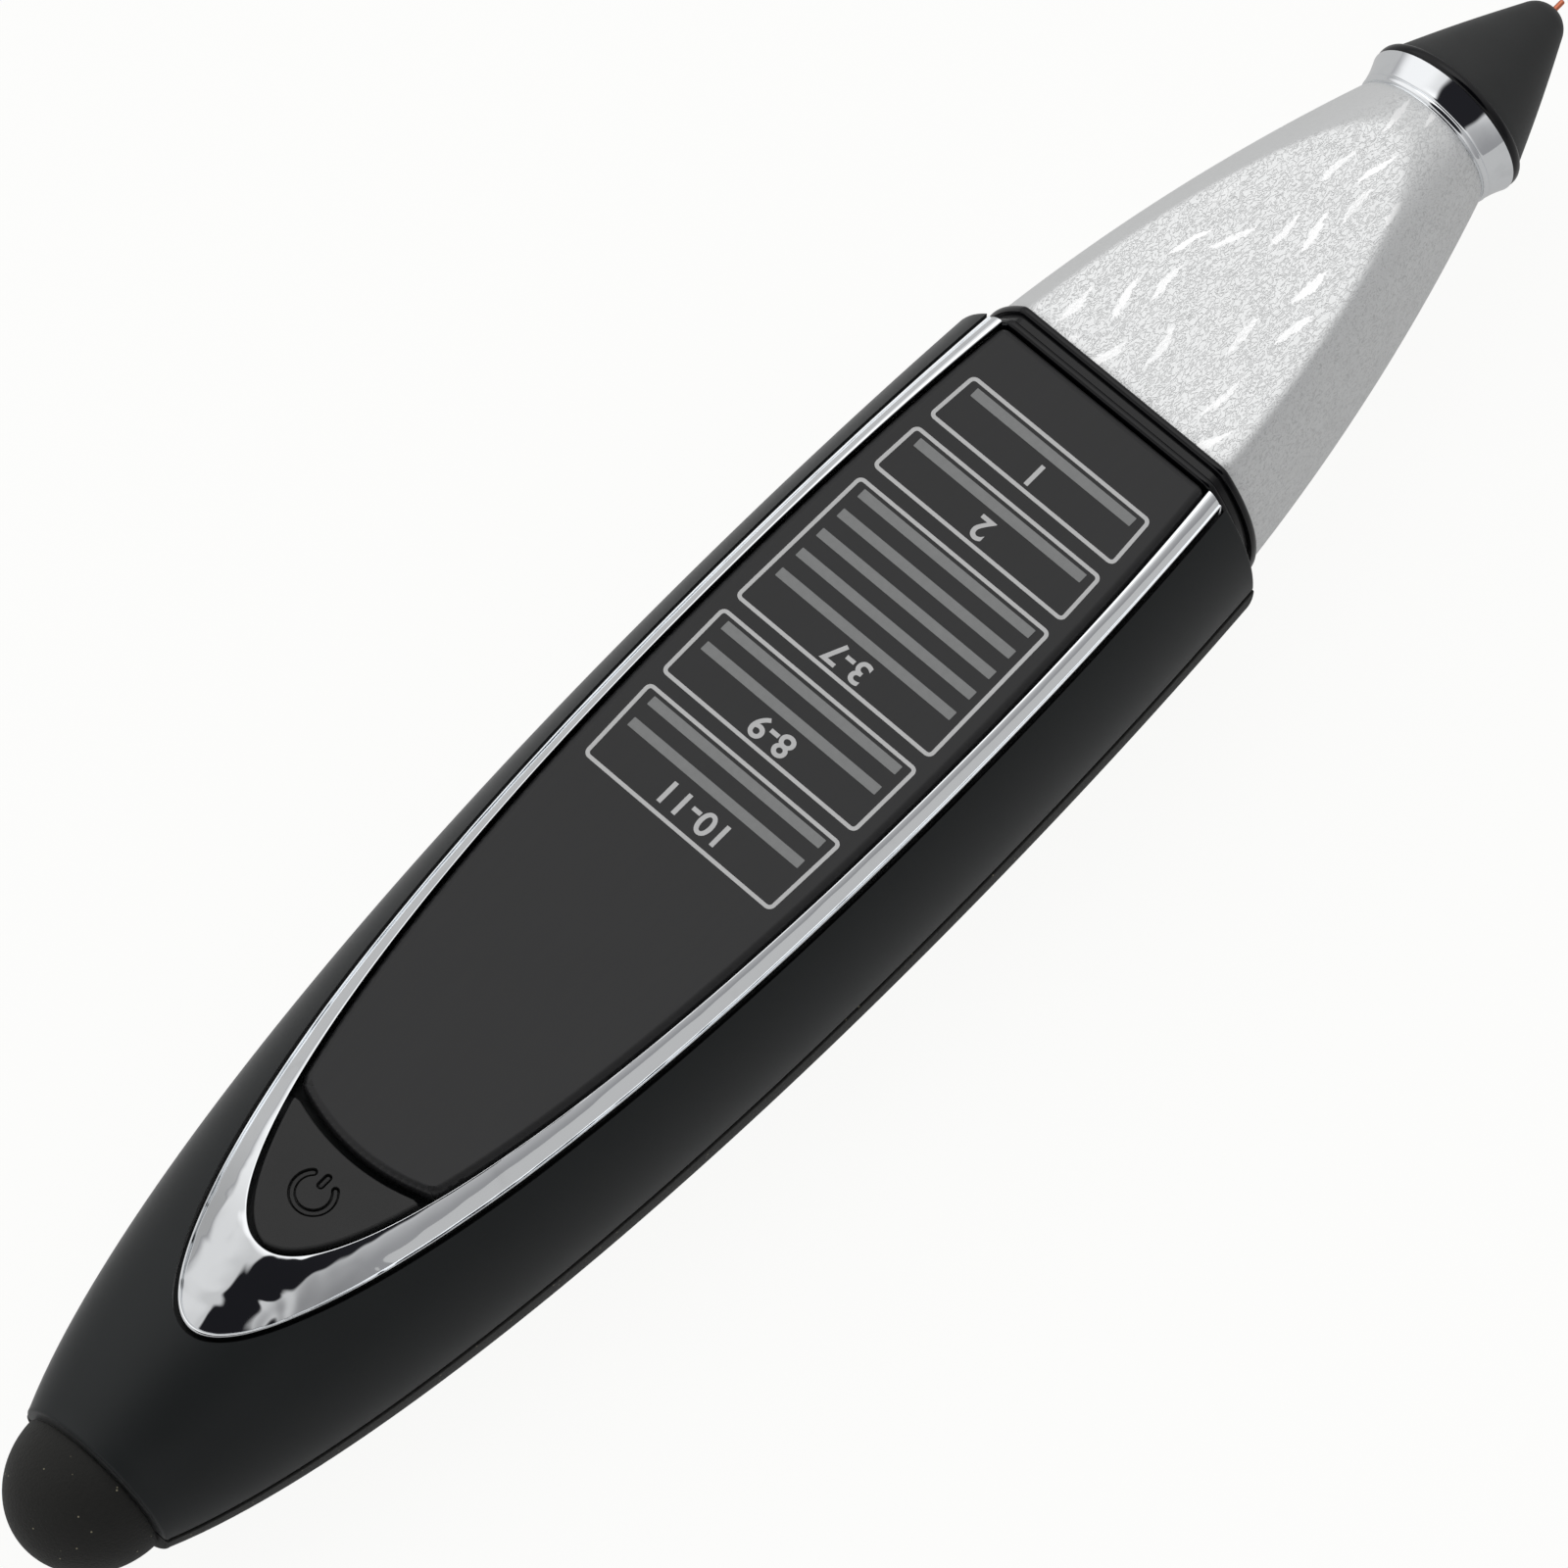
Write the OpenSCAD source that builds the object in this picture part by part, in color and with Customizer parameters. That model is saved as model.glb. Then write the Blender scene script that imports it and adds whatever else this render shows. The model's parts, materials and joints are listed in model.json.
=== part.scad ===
// Pen-type gem tester: a hand-held probe with a bar-graph window. Millimetres.
// The tip points along +X, the window faces +Z, and the part rests on z = 0.

/* [Body] */
// Length of the body from the tail seam to its widest station
body_rear_l = 77.2; // [72:0.2:84]
// Length of the body from its widest station to its front face
body_front_l = 31.4; // [30:0.2:36]
// Radius of the body at its widest station
body_r = 16.1; // [15.9:0.1:17]
// Roundness of the rear outline, where 2 is an ellipse
body_round = 2.1; // [2:0.05:2.4]
// Length over which the front outline would close
front_reach = 94; // [85:1:130]
// Height from the rest plane to the window
body_h = 22; // [21.8:0.1:24]
// Depth of the body's axis below the window, at the widest station
axis_drop = 11.2; // [10.8:0.1:11.6]
// Dip of the tail, in degrees
tilt = 1.2; // [0.6:0.1:1.6]
// Wall of both casings
wall = 1.6; // [1.2:0.1:1.9]
// Wall that closes the body at its front
front_wall = 2; // [1.6:0.1:2.4]
// Wall that closes the body at its tail
tail_wall = 2; // [1.6:0.1:2.6]
// Depth of the casing's flat top below the window
deck_drop = 2.5; // [2.2:0.1:2.8]
// Thickness of the deck under the window
deck_t = 1.2; // [1:0.1:1.6]
// Depth of the casing's rim below the window, at its front
rim_drop = 0.85; // [0.7:0.05:1.1]
// Height of the casing's rim above its flat top, at the window's tail end
rim_tail = 0.25; // [0.25:0.05:0.4]

/* [Window] */
// Half width of the window at its centre
window_half_w = 11.5; // [11.2:0.1:11.7]
// Length from the window's centre to its tail end
window_reach = 61.3; // [58:0.1:62]
// Distance of the window's centre ahead of the widest station
window_ahead = 2; // [1:0.1:3]
// Roundness of the window's outline
window_round = 2.1; // [2:0.05:2.4]
// Thickness of the display panel
panel_t = 1.6; // [1.2:0.1:1.8]
// Setback of the panel's front edge from the casing's front face
panel_setback = 0.2; // [0.1:0.1:0.6]
// Inset of the light diffuser below the panel
diffuser_inset = 0.6; // [0.4:0.1:1]
// Chamfer along the panel's front edge
panel_lip = 0.6; // [0.3:0.1:1]
// Gap between the panel and the trim
panel_gap = 0.2; // [0.1:0.01:0.24]
// Width of the flat land along the trim's inner edge
trim_land = 0.35; // [0.2:0.05:0.6]
// Setback of the trim's foot from the casing's skin
trim_setback = 0.2; // [0.15:0.05:0.4]

/* [Power button] */
// Radius of the arc between the panel and the button
button_arc_r = 17; // [15:0.5:20]
// Distance of that arc's crown behind the widest station
button_arc_back = 49.9; // [46:0.1:52]
// Width of the gap along the arc
button_arc_gap = 0.7; // [0.4:0.1:1]
// Gap between the button and the trim
button_gap = 0.35; // [0.25:0.05:0.5]
// Thickness of the button's plate
button_t = 1.2; // [1:0.1:1.4]
// Travel of the button
button_travel = 0.5; // [0.3:0.1:0.6]
// Distance of the button's centre behind the widest station
button_back = 53.8; // [53:0.1:54.2]
// Radius of the button's plunger
plunger_r = 1.2; // [0.9:0.1:1.3]
// Clearance round the plunger in the deck
plunger_clear = 0.4; // [0.3:0.1:0.6]
// Outer radius of the power sign
sign_r = 1.9; // [1.4:0.05:2]
// Line width of the power sign
sign_line = 0.65; // [0.4:0.05:0.7]
// Depth of the power sign
sign_depth = 0.3; // [0.2:0.05:0.4]

/* [Indicator bars] */
// Distance of the first frame's front edge behind the casing's front face
bars_back = 4.9; // [4.8:0.1:5.8]
// Distance from a frame's front edge to its first bar
bar_inset = 1.05; // [0.9:0.05:1.3]
// Spacing of the bars
bar_pitch = 2.2; // [2:0.05:2.3]
// Width of a bar
bar_w = 0.85; // [0.7:0.05:1]
// Length of a bar
bar_l = 15.8; // [14:0.1:16.4]
// Distance from a frame's last bar to its rear edge
frame_tail = 3.7; // [3.4:0.05:3.9]
// Gap between frames
frame_gap = 1.15; // [1:0.05:1.3]
// Clearance round a light pipe in the deck
pipe_clear = 0.1; // [0.05:0.01:0.2]
// Length by which a light pipe reaches below the deck
pipe_foot = 0.5; // [0.3:0.1:0.5]

/* [Tail] */
// Length of the tail cap
cap_l = 7.2; // [6:0.1:9]
// Radius of the tail cap at its seam
cap_r = 6.35; // [6:0.05:6.6]
// Gap at the tail seam
cap_gap = 0.15; // [0.1:0.05:0.3]
// Radius of the cap's plug
plug_r = 4.6; // [4.3:0.05:4.8]
// Clearance of the plug in the tail wall
plug_clear = 0.1; // [0.05:0.01:0.3]
// Length of the cap's plug
plug_l = 1.6; // [1.2:0.1:1.8]

/* [Nose] */
// Length of the gasket behind the nose
gasket_l = 2.2; // [1.8:0.1:3]
// Step of the gasket beyond the nose
gasket_step = 0.35; // [0.2:0.05:0.5]
// Depth of the gasket's groove
gasket_groove = 0.5; // [0.3:0.1:0.8]
// Length of the nose shell
nose_l = 34.2; // [30:0.2:42]
// Depth of the nose axis below the window
nose_drop = 9.7; // [9.5:0.1:10]
// Radius of the nose at its base
nose_r = 13.3; // [12.5:0.1:13.6]
// Radius of the nose at its neck
neck_r = 6.2; // [5.8:0.05:6.4]
// Radius of the nose's long curve
nose_arc_r = 180; // [140:5:300]
// Half height of the nose's flats at its base
flat_base = 9; // [8.8:0.1:9.2]
// Half height of the nose's flats at its neck
flat_neck = 6.95; // [6.6:0.01:7.2]
// Radius of the spigot that the casings clasp
spigot_r = 5.2; // [5:0.1:5.3]
// Lip of the spigot inside the front wall
spigot_lip = 0.6; // [0.4:0.1:0.6]
// Thickness of that lip
spigot_lip_t = 1.2; // [0.8:0.1:1.3]
// Clearance of the parts that are put together without play
fit = 0.05; // [0.02:0.01:0.08]

/* [Probe] */
// Length of the chrome collar
collar_l = 2.6; // [1.6:0.1:3]
// Bow of the collar's flare, where 1 is a straight cone
collar_bow = 1; // [1:0.1:2]
// Outer radius of the collar and the seal
collar_r = 7.1; // [6.8:0.1:7.4]
// Length of the seal
seal_l = 0.9; // [0.4:0.1:1.2]
// Length of the cone
cone_l = 12; // [11.6:0.1:14]
// Radius of the cone at its base
cone_r = 6.7; // [6.4:0.1:6.8]
// Radius of the cone's round end
cone_end_r = 2.2; // [1.8:0.05:2.6]
// Thickness of the cone's end in front of the plunger
cone_end_t = 1.6; // [1.4:0.1:2]
// Length by which the pin stands out of the cone
pin_out = 1.1; // [1:0.1:1.4]
// Radius of the pin
pin_r = 0.22; // [0.2:0.02:0.4]
// Travel of the pin
pin_travel = 1; // [0.6:0.1:1]
// Running clearance of the pin and the plunger
run_clear = 0.1; // [0.05:0.01:0.15]
// Outer radius of the barrel
barrel_r = 4.2; // [4:0.1:4.3]
// Bore radius of the barrel
barrel_bore_r = 2; // [1.8:0.05:2.2]
// Length of the barrel inside the cone
barrel_grip = 2; // [1.5:0.1:2.5]
// Distance of the plunger's stop behind the cone
stop_back = 5; // [4:0.5:8]
// Length of the plunger's head
head_l = 6; // [4:0.5:8]
// Radius of the plunger's rod
rod_r = 1; // [0.8:0.05:1.1]
// Gap between the rod and the cone's end
rod_gap = 0.4; // [0.3:0.05:0.6]
// Length of the plunger's spring
spring_l = 8; // [6:0.5:10]
// Coil radius of the plunger's spring
spring_r = 1.4; // [1.2:0.05:1.4]
// Wire radius of the plunger's spring
spring_wire_r = 0.2; // [0.15:0.01:0.25]
// Turns of the plunger's spring
spring_turns = 6; // [4:1:7]
// Length of the plug that closes the barrel
barrel_plug_l = 6; // [4:0.5:8]
// Radius of a probe lead
lead_r = 0.4; // [0.3:0.05:0.5]
// Half spacing of the probe leads
lead_half = 0.8; // [0.7:0.05:1]
// Bend radius of the probe leads
lead_bend = 1.6; // [1.2:0.1:2]
// Distance of the leads' rise behind the front of the board
lead_back = 2.6; // [2:0.1:4]

/* [Boards] */
// Thickness of the main board
board_t = 1.2; // [1:0.1:1.4]
// Depth of the main board's top below the deck
board_drop = 1.5; // [1.4:0.1:1.8]
// Half width of the main board
board_half_w = 7; // [6:0.1:7.2]
// Distance of the main board's front behind the casing's front face
board_front_gap = 4; // [3.8:0.1:4.2]
// Distance of the main board's rear behind the button's centre
board_rear_l = 3.4; // [3:0.1:3.6]
// Chamfer of the main board's rear corners
board_chamfer = 2; // [1:0.5:3]
// Height of an indicator lamp
lamp_h = 0.9; // [0.6:0.05:0.9]
// Size of an indicator lamp along the pen
lamp_w = 0.8; // [0.6:0.05:1]
// Size of an indicator lamp across the pen
lamp_l = 1.6; // [1.2:0.1:2]
// Side of the controller chip
chip_w = 7; // [5:0.5:8]
// Height of the controller chip
chip_h = 1.1; // [0.8:0.1:1.4]
// Distance of the controller chip behind the widest station
chip_back = 10; // [8:0.5:11]
// Radius of the buzzer
buzzer_r = 4.5; // [4:0.1:5]
// Height of the buzzer
buzzer_h = 2.6; // [2:0.1:2.6]
// Distance of the buzzer ahead of the widest station
buzzer_ahead = 12; // [10:1:14]
// Side of the power switch
switch_w = 4.5; // [4:0.1:5]
// Height of the power switch
switch_h = 1.2; // [1:0.05:1.2]
// Radius of the switch stem
stem_r = 1.1; // [0.9:0.05:1.15]
// Length of the switch stem inside the switch
stem_grip = 0.5; // [0.4:0.05:0.55]
// Length of the charging board ahead of the link pins
usb_board_over = 1.4; // [0.8:0.1:1.8]
// Width of the charging board
usb_board_w = 8.4; // [8:0.1:8.6]
// Thickness of the charging board
usb_board_t = 1; // [0.8:0.1:1.2]
// Width of the charging socket
usb_w = 7.5; // [7:0.1:7.6]
// Height of the charging socket
usb_h = 2.6; // [2.4:0.1:2.8]
// Length of the charging socket
usb_l = 5.5; // [5:0.1:6]
// Wall of the charging socket
usb_wall = 0.3; // [0.2:0.05:0.4]
// Gap between the socket and the tail wall
usb_gap = 0.15; // [0.1:0.05:0.4]
// Radius of a link pin between the boards
link_r = 0.35; // [0.25:0.05:0.45]
// Spacing of the link pins
link_pitch = 2; // [1.6:0.1:2.2]

/* [Battery bay] */
// Radius of a cell
cell_r = 5.2; // [5:0.05:5.25]
// Length of a cell over its button
cell_l = 44.5; // [43:0.1:45]
// Length of a cell's button
cell_button_l = 1; // [0.8:0.1:1.2]
// Radius of a cell's button
cell_button_r = 1.9; // [1.6:0.1:2.2]
// Gap between the two cells
cell_gap = 0.6; // [0.4:0.1:0.8]
// Gap between the cells and the door
cell_lift = 0.4; // [0.3:0.05:0.5]
// Length of a battery spring
contact_spring_l = 3; // [2.5:0.1:3.5]
// Thickness of a contact plate
contact_t = 0.4; // [0.3:0.05:0.5]
// Width of a contact plate
contact_w = 8; // [6:0.5:8.5]
// Distance of the bay's front ahead of the widest station
bay_ahead = 6.4; // [5.6:0.1:7]
// Thickness of the bay's end ribs
rib_t = 1.4; // [1.2:0.1:1.8]
// Half width of the battery door
door_half_w = 11.4; // [11.2:0.1:11.6]
// Gap round the battery door
door_gap = 0.3; // [0.25:0.05:0.4]
// Recess of the battery door from the rest plane
door_recess = 0.3; // [0.2:0.05:0.4]
// Margin of the battery door beyond the bay
door_margin = 2; // [1.8:0.1:2.6]
// Number of grip grooves in the battery door
door_grooves = 5; // [3:1:7]
// Spacing of the grip grooves
door_groove_pitch = 2; // [1.8:0.1:2.4]
// Depth of the grip grooves
door_groove_depth = 0.4; // [0.2:0.1:0.6]

/* [Screws] */
// Shank radius of the screws
screw_r = 0.8; // [0.7:0.05:0.9]
// Clearance of a screw in its pilot hole
pilot_clear = 0.05; // [0.02:0.01:0.1]
// Clearance of a screw in its through hole
screw_clear = 0.3; // [0.2:0.05:0.4]
// Head radius of the screws
screw_head_r = 1.7; // [1.5:0.05:1.8]
// Head height of the screws
screw_head_h = 1; // [0.8:0.1:1.2]
// Clearance round a sunk screw head
head_clear = 0.25; // [0.15:0.05:0.3]
// Radius of a casing post
post_r = 2.4; // [2.2:0.05:2.5]
// Height at which the casing screws' heads seat
head_seat = 3.4; // [3:0.1:4]
// Length of a casing screw's thread in the upper casing
casing_thread = 4.5; // [3.5:0.1:5]
// Distance of the front posts behind the casing's front face
front_post_back = 5.6; // [5:0.1:6.4]
// Distance of the front posts from the centre plane
front_post_y = 10; // [9.8:0.1:10.4]
// Distance of the rear posts ahead of the tail seam
rear_post_ahead = 16.4; // [15.8:0.1:17]
// Distance of the rear posts from the centre plane
rear_post_y = 6.8; // [6.7:0.1:7]
// Length of a board screw's thread in the deck
board_thread = 2.4; // [2:0.1:2.4]
// Distance of the board screws from the centre plane
board_screw_y = 4.6; // [4:0.1:5]

/* [Hidden] */
$fn = 64;

// Spare length for cuts that run past a face
spare = 1;
// A reach well past the whole object
far = 300;
// Stations along a revolved profile, and along one side of the window
profile_steps = 24;
window_steps = 36;
// Bars in each frame, from the tip end
bar_groups = [1, 1, 5, 2, 2];
// Rings in one turn of a wire, and sides of a wire
wire_rings = 12;
wire_sides = 6;

// Stations along the pen
rear_l = (body_rear_l + cap_l) * cos(tilt);
front_l = body_front_l + gasket_l + nose_l + collar_l + seal_l + cone_l + pin_out;
x_wide = (rear_l - front_l) / 2;
x_front = x_wide + body_front_l;
x_nose = x_front + gasket_l;
x_neck = x_nose + nose_l;
x_seal = x_neck + collar_l;
x_cone = x_seal + seal_l;
x_tip = x_cone + cone_l;
x_pin = x_tip + pin_out;
x_window = x_wide + window_ahead;
x_panel = x_front - panel_setback;
x_button = x_wide - button_back;
x_arc = x_wide - button_arc_back + button_arc_r;
x_board_front = x_front - board_front_gap;
x_board_rear = x_button - board_rear_l;
x_link = x_board_rear + 2 * link_pitch / 3;

// Levels above the rest plane
z_axis = body_h - axis_drop;
z_deck = body_h - deck_drop;
z_under_deck = z_deck - deck_t;
z_board_top = z_under_deck - board_drop;
z_board = z_board_top - board_t;
z_nose = body_h - nose_drop;
// Height by which the switch stem stands out of the switch: its travel and a little more
stem_rise = button_travel + run_clear;
z_cell = wall + cell_lift + cell_r;

// Battery bay
cell_y = cell_r + cell_gap / 2;
x_bay_front = x_wide + bay_ahead;
bay_l = cell_l + contact_spring_l + 2 * contact_t;
x_bay_rear = x_bay_front - bay_l;
x_door_front = x_bay_front + door_margin;
x_door_rear = x_bay_rear - door_margin;

// Probe
x_barrel = x_front - front_wall - spigot_lip_t - fit;
x_stop = x_cone - stop_back;
x_head_front = x_stop - run_clear;
x_head_rear = x_head_front - head_l;
x_spring_rear = x_head_rear - spring_l;
x_plug_rear = x_spring_rear - barrel_plug_l;
x_rod_end = x_tip - cone_end_t - rod_gap;
nose_bore_r = barrel_r + fit;
rod_bore_r = rod_r + run_clear;

// Radius of the body at a distance s ahead of its widest station, along its own axis.
function rear_radius(s) = body_r * pow(1 - pow(-s / (body_rear_l + cap_l), body_round), 1 / body_round);
function body_radius(s) = s < 0 ? rear_radius(s) : body_r * sqrt(1 - pow(s / front_reach, 2));

// Half width of the body's skin at a place x and a level z.
function along(x, z) = (x - x_wide) * cos(tilt) + (z - z_axis) * sin(tilt);
function above(x, z) = (z - z_axis) * cos(tilt) - (x - x_wide) * sin(tilt);
function skin_square(x, z) = pow(body_radius(along(x, z)), 2) - pow(above(x, z), 2);
function skin_y(x, z) = sqrt(max(0, skin_square(x, z)));

// Half width of the window at a place x.
function window_y(x) = window_half_w
    * pow(max(0, 1 - pow(abs(x - x_window) / window_reach, window_round)), 1 / window_round);
x_window_end = x_window - window_reach;

// Level of the casing's rim, which dips towards the tail, and the place where the skin closes at it.
rim_slope = (deck_drop - rim_drop - rim_tail) / (x_front - x_window_end);
function rim_z(x) = z_deck + rim_tail + rim_slope * (x - x_window_end);
function rim_end(low, high, tries = 30) = let (x = (low + high) / 2) tries == 0 ? x
    : skin_square(x, rim_z(x)) > 0 ? rim_end(low, x, tries - 1) : rim_end(x, high, tries - 1);
x_foot_end = rim_end(x_wide - body_rear_l, x_wide) + trim_setback;

// One side of the trim's foot, from the front to the tail end.
function foot_x(i) = x_panel - (x_panel - x_foot_end) * eased(i);
function foot_y(i) = let (x = foot_x(i)) i == window_steps ? 0
    : skin_y(x - trim_setback, rim_z(x)) - trim_setback;

// Outline of the window, drawn in by a gap: stations close up towards the round tail end.
function eased(i) = 1 - pow(1 - i / window_steps, 2);
function window_outline(gap) = let (
        stations = [for (i = [0 : window_steps]) x_panel - (x_panel - x_window_end - gap) * eased(i)],
        share = [for (x = stations) (x_panel - x) / (x_panel - x_window_end)],
        side = [for (i = [0 : window_steps])
            [stations[i], max(0, window_y(stations[i] - gap * share[i]) - gap)]])
    concat([for (p = side) if (p[1] > 0) p], [[x_window_end + gap, 0]],
        [for (i = [window_steps : -1 : 0]) if (side[i][1] > 0) [side[i][0], -side[i][1]]]);

// Frame lengths and bar places, from the tip end.
function frame_l(i) = bar_inset + (bar_groups[i] - 1) * bar_pitch + frame_tail;
function frame_front(i) = i == 0 ? x_front - bars_back : frame_front(i - 1) - frame_l(i - 1) - frame_gap;
bar_places = [for (i = [0 : len(bar_groups) - 1], j = [0 : bar_groups[i] - 1])
    frame_front(i) - bar_inset - j * bar_pitch];

// Faces of a tube whose rings of points follow each other, closed at both ends.
function tube_faces(rings, sides) = concat(
    [for (i = [0 : rings - 2], j = [0 : sides - 1]) let (k = (j + 1) % sides)
        [i * sides + j, (i + 1) * sides + j, (i + 1) * sides + k]],
    [for (i = [0 : rings - 2], j = [0 : sides - 1]) let (k = (j + 1) % sides)
        [i * sides + j, (i + 1) * sides + k, i * sides + k]],
    [for (j = [1 : sides - 2]) [0, j, j + 1]],
    [for (j = [1 : sides - 2]) let (last = (rings - 1) * sides) [last, last + j + 1, last + j]]);

// A coil along +X from r1 to r2, of round wire, standing from x = 0 to x = l.
module coil(r1, r2, l, turns, wire_r) {
    rings = turns * wire_rings + 1;
    points = [for (i = [0 : rings - 1], j = [0 : wire_sides - 1])
        let (t = i / (rings - 1), turn = 360 * turns * t, side = 360 * j / wire_sides,
            r = r1 + (r2 - r1) * t + wire_r * cos(side))
        [wire_r + (l - 2 * wire_r) * t + wire_r * sin(side), r * cos(turn), r * sin(turn)]];
    polyhedron(points, tube_faces(rings, wire_sides));
}

// A round bar along +X.
module rod(r, l) {
    rotate([0, 90, 0]) cylinder(r = r, h = l);
}

// A shape turned about the X axis from points of [radius, place].
module turned(points) {
    rotate([0, 90, 0]) rotate_extrude() polygon(points);
}

// The body's own frame: its axis dips towards the tail.
module body_frame() {
    translate([x_wide, 0, z_axis]) rotate([0, -tilt, 0]) children();
}

// The body as a turned solid, drawn in by an inset and shortened at the tail.
module body_solid(inset, shorten) {
    rear = shorten - body_rear_l;
    front = body_front_l + spare;
    stations = [for (i = [0 : profile_steps]) rear + (front - rear) * i / profile_steps];
    body_frame() turned(concat([[0, rear]], [for (s = stations) [body_radius(s) - inset, s]], [[0, front]]));
}

// A box that keeps what lies between two levels and behind a place along the pen.
module keep(x_end, z_low, z_high) {
    translate([x_end - far, -far / 2, z_low]) cube([far, far, z_high - z_low]);
}

// Everything above the parting plane, or below it.
module above_parting() {
    body_frame() translate([-far / 2, -far / 2, 0]) cube([far, far, far / 2]);
}
module below_parting() {
    body_frame() translate([-far / 2, -far / 2, -far / 2]) cube([far, far, far / 2]);
}

// Places of the casing screws and of the board screws.
module at_posts() {
    for (side = [-1, 1]) {
        translate([x_front - front_post_back, side * front_post_y, 0]) children();
        translate([x_wide - body_rear_l + rear_post_ahead, side * rear_post_y, 0]) children();
    }
}
board_screw_places = [[x_bay_front - bay_l / 2, board_screw_y],
    [x_bay_rear + contact_spring_l, -board_screw_y]];
module at_board_screws() {
    for (p = board_screw_places) translate([p[0], p[1], 0]) children();
}

// Openings that both casings share: the spigot's seat and the tail bore.
module shared_bores() {
    translate([x_front - front_wall - spare, 0, z_nose]) rod(spigot_r + fit, front_wall + 2 * spare);
    body_frame() translate([-body_rear_l - spare, 0, 0]) rod(plug_r + plug_clear, tail_wall + 2 * spare);
}

// Everything below the casing's rim.
module below_rim() {
    translate([x_front, 0, rim_z(x_front)]) rotate([0, -atan(rim_slope), 0])
        translate([-far, -far / 2, -far]) cube([2 * far, far, far]);
}

// The pocket in the casing's top that holds the trim, open towards the nose.
module trim_pocket() {
    side = [for (i = [0 : window_steps - 1]) [foot_x(i) - fit * eased(i), foot_y(i) + fit]];
    front = [x_front + spare, side[0][1]];
    outline = concat([front], side, [[x_foot_end - fit, 0]],
        [for (i = [window_steps - 1 : -1 : 0]) [side[i][0], -side[i][1]]], [[front[0], -front[1]]]);
    translate([0, 0, z_deck]) linear_extrude(far) polygon(outline);
}

module upper_casing() {
    pilot_r = screw_r + pilot_clear;
    color("#1e2122") difference() {
        intersection() {
            body_solid(0, 0);
            above_parting();
            keep(x_front, 0, far);
            below_rim();
        }
        trim_pocket();
        difference() {
            intersection() {
                body_solid(wall, tail_wall);
                keep(x_front - front_wall, 0, z_under_deck);
            }
            at_posts() cylinder(r = post_r, h = far);
            translate([0, 0, z_board_top]) at_board_screws() cylinder(r = post_r, h = far);
        }
        shared_bores();
        at_posts() cylinder(r = pilot_r, h = z_axis + casing_thread + pilot_clear);
        at_board_screws() cylinder(r = pilot_r, h = z_board_top + board_thread + pilot_clear);
        translate([x_button, 0, z_board_top]) cylinder(r = plunger_r + plunger_clear, h = far);
        for (x = bar_places) translate([x - bar_w / 2 - pipe_clear, -bar_l / 2 - pipe_clear, z_board_top])
            cube([bar_w + 2 * pipe_clear, bar_l + 2 * pipe_clear, far]);
    }
}

// Ribs in the lower casing: two end walls of the battery bay and two rails under the charging board.
module lower_ribs() {
    rail_half = usb_board_w / 3;
    translate([x_bay_front, -far / 2, -far / 2]) cube([rib_t, far, far]);
    translate([x_bay_rear - rib_t, -far / 2, -far / 2]) cube([rib_t, far, far]);
    body_frame() for (side = [-1, 1])
        translate([usb_rear, side * rail_half - rib_t / 2, -far])
            cube([usb_board_l, rib_t, far + usb_top - usb_board_t]);
}

// The prism that the battery door fills, drawn in by a gap.
module door_prism(gap) {
    translate([x_door_rear + gap, -door_half_w + gap, -spare])
        cube([x_door_front - x_door_rear - 2 * gap, 2 * (door_half_w - gap), z_axis]);
}

module lower_casing() {
    color("#222220") difference() {
        intersection() {
            body_solid(0, 0);
            below_parting();
            keep(x_front, 0, far);
        }
        difference() {
            intersection() {
                body_solid(wall, tail_wall);
                keep(x_front - front_wall, wall, far);
            }
            lower_ribs();
            at_posts() cylinder(r = post_r, h = far);
        }
        shared_bores();
        intersection() {
            door_prism(-door_gap);
            difference() {
                translate([-far / 2, -far / 2, -spare]) cube([far, far, far]);
                intersection() {
                    body_solid(wall, tail_wall);
                    keep(x_front, wall, far);
                }
            }
        }
        translate([0, 0, -spare]) at_posts() cylinder(r = screw_r + screw_clear, h = far);
        translate([0, 0, -spare]) at_posts() cylinder(r = screw_head_r + head_clear, h = head_seat + spare);
    }
}

module battery_door() {
    groove_r = door_groove_depth;
    x_groove = x_door_rear + door_gap + 2 * door_groove_pitch;
    color("#222220") difference() {
        intersection() {
            body_solid(0, 0);
            keep(x_front, door_recess, far);
            door_prism(0);
        }
        intersection() {
            body_solid(wall, tail_wall);
            keep(x_front, wall, far);
        }
        for (i = [0 : door_grooves - 1])
            translate([x_groove + i * door_groove_pitch, -door_half_w / 2, door_recess])
                rotate([-90, 0, 0]) cylinder(r = groove_r, h = door_half_w);
    }
}

// The trim stands in the pocket and slopes from the casing's rim up to the window, open towards the nose.
module trim_bezel() {
    sides = 5;
    stations = 2 * window_steps + 1;
    half = [for (i = [0 : window_steps]) let (
            xi = x_panel - (x_panel - x_window_end) * eased(i),
            inner = [xi, i == window_steps ? 0 : window_y(xi)],
            outer = [foot_x(i), foot_y(i)],
            land = inner + (outer - inner) * trim_land / norm(outer - inner))
        [inner, land, outer]];
    rings = concat(half, [for (i = [window_steps - 1 : -1 : 0]) [for (p = half[i]) [p[0], -p[1]]]]);
    points = [for (r = rings, p = [[r[0], z_deck], [r[0], body_h], [r[1], body_h],
            [r[2], rim_z(r[2][0])], [r[2], z_deck]])
        [p[0][0], p[0][1], p[1]]];
    color("#b8bcc0") polyhedron(points, tube_faces(stations, sides));
}

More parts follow.
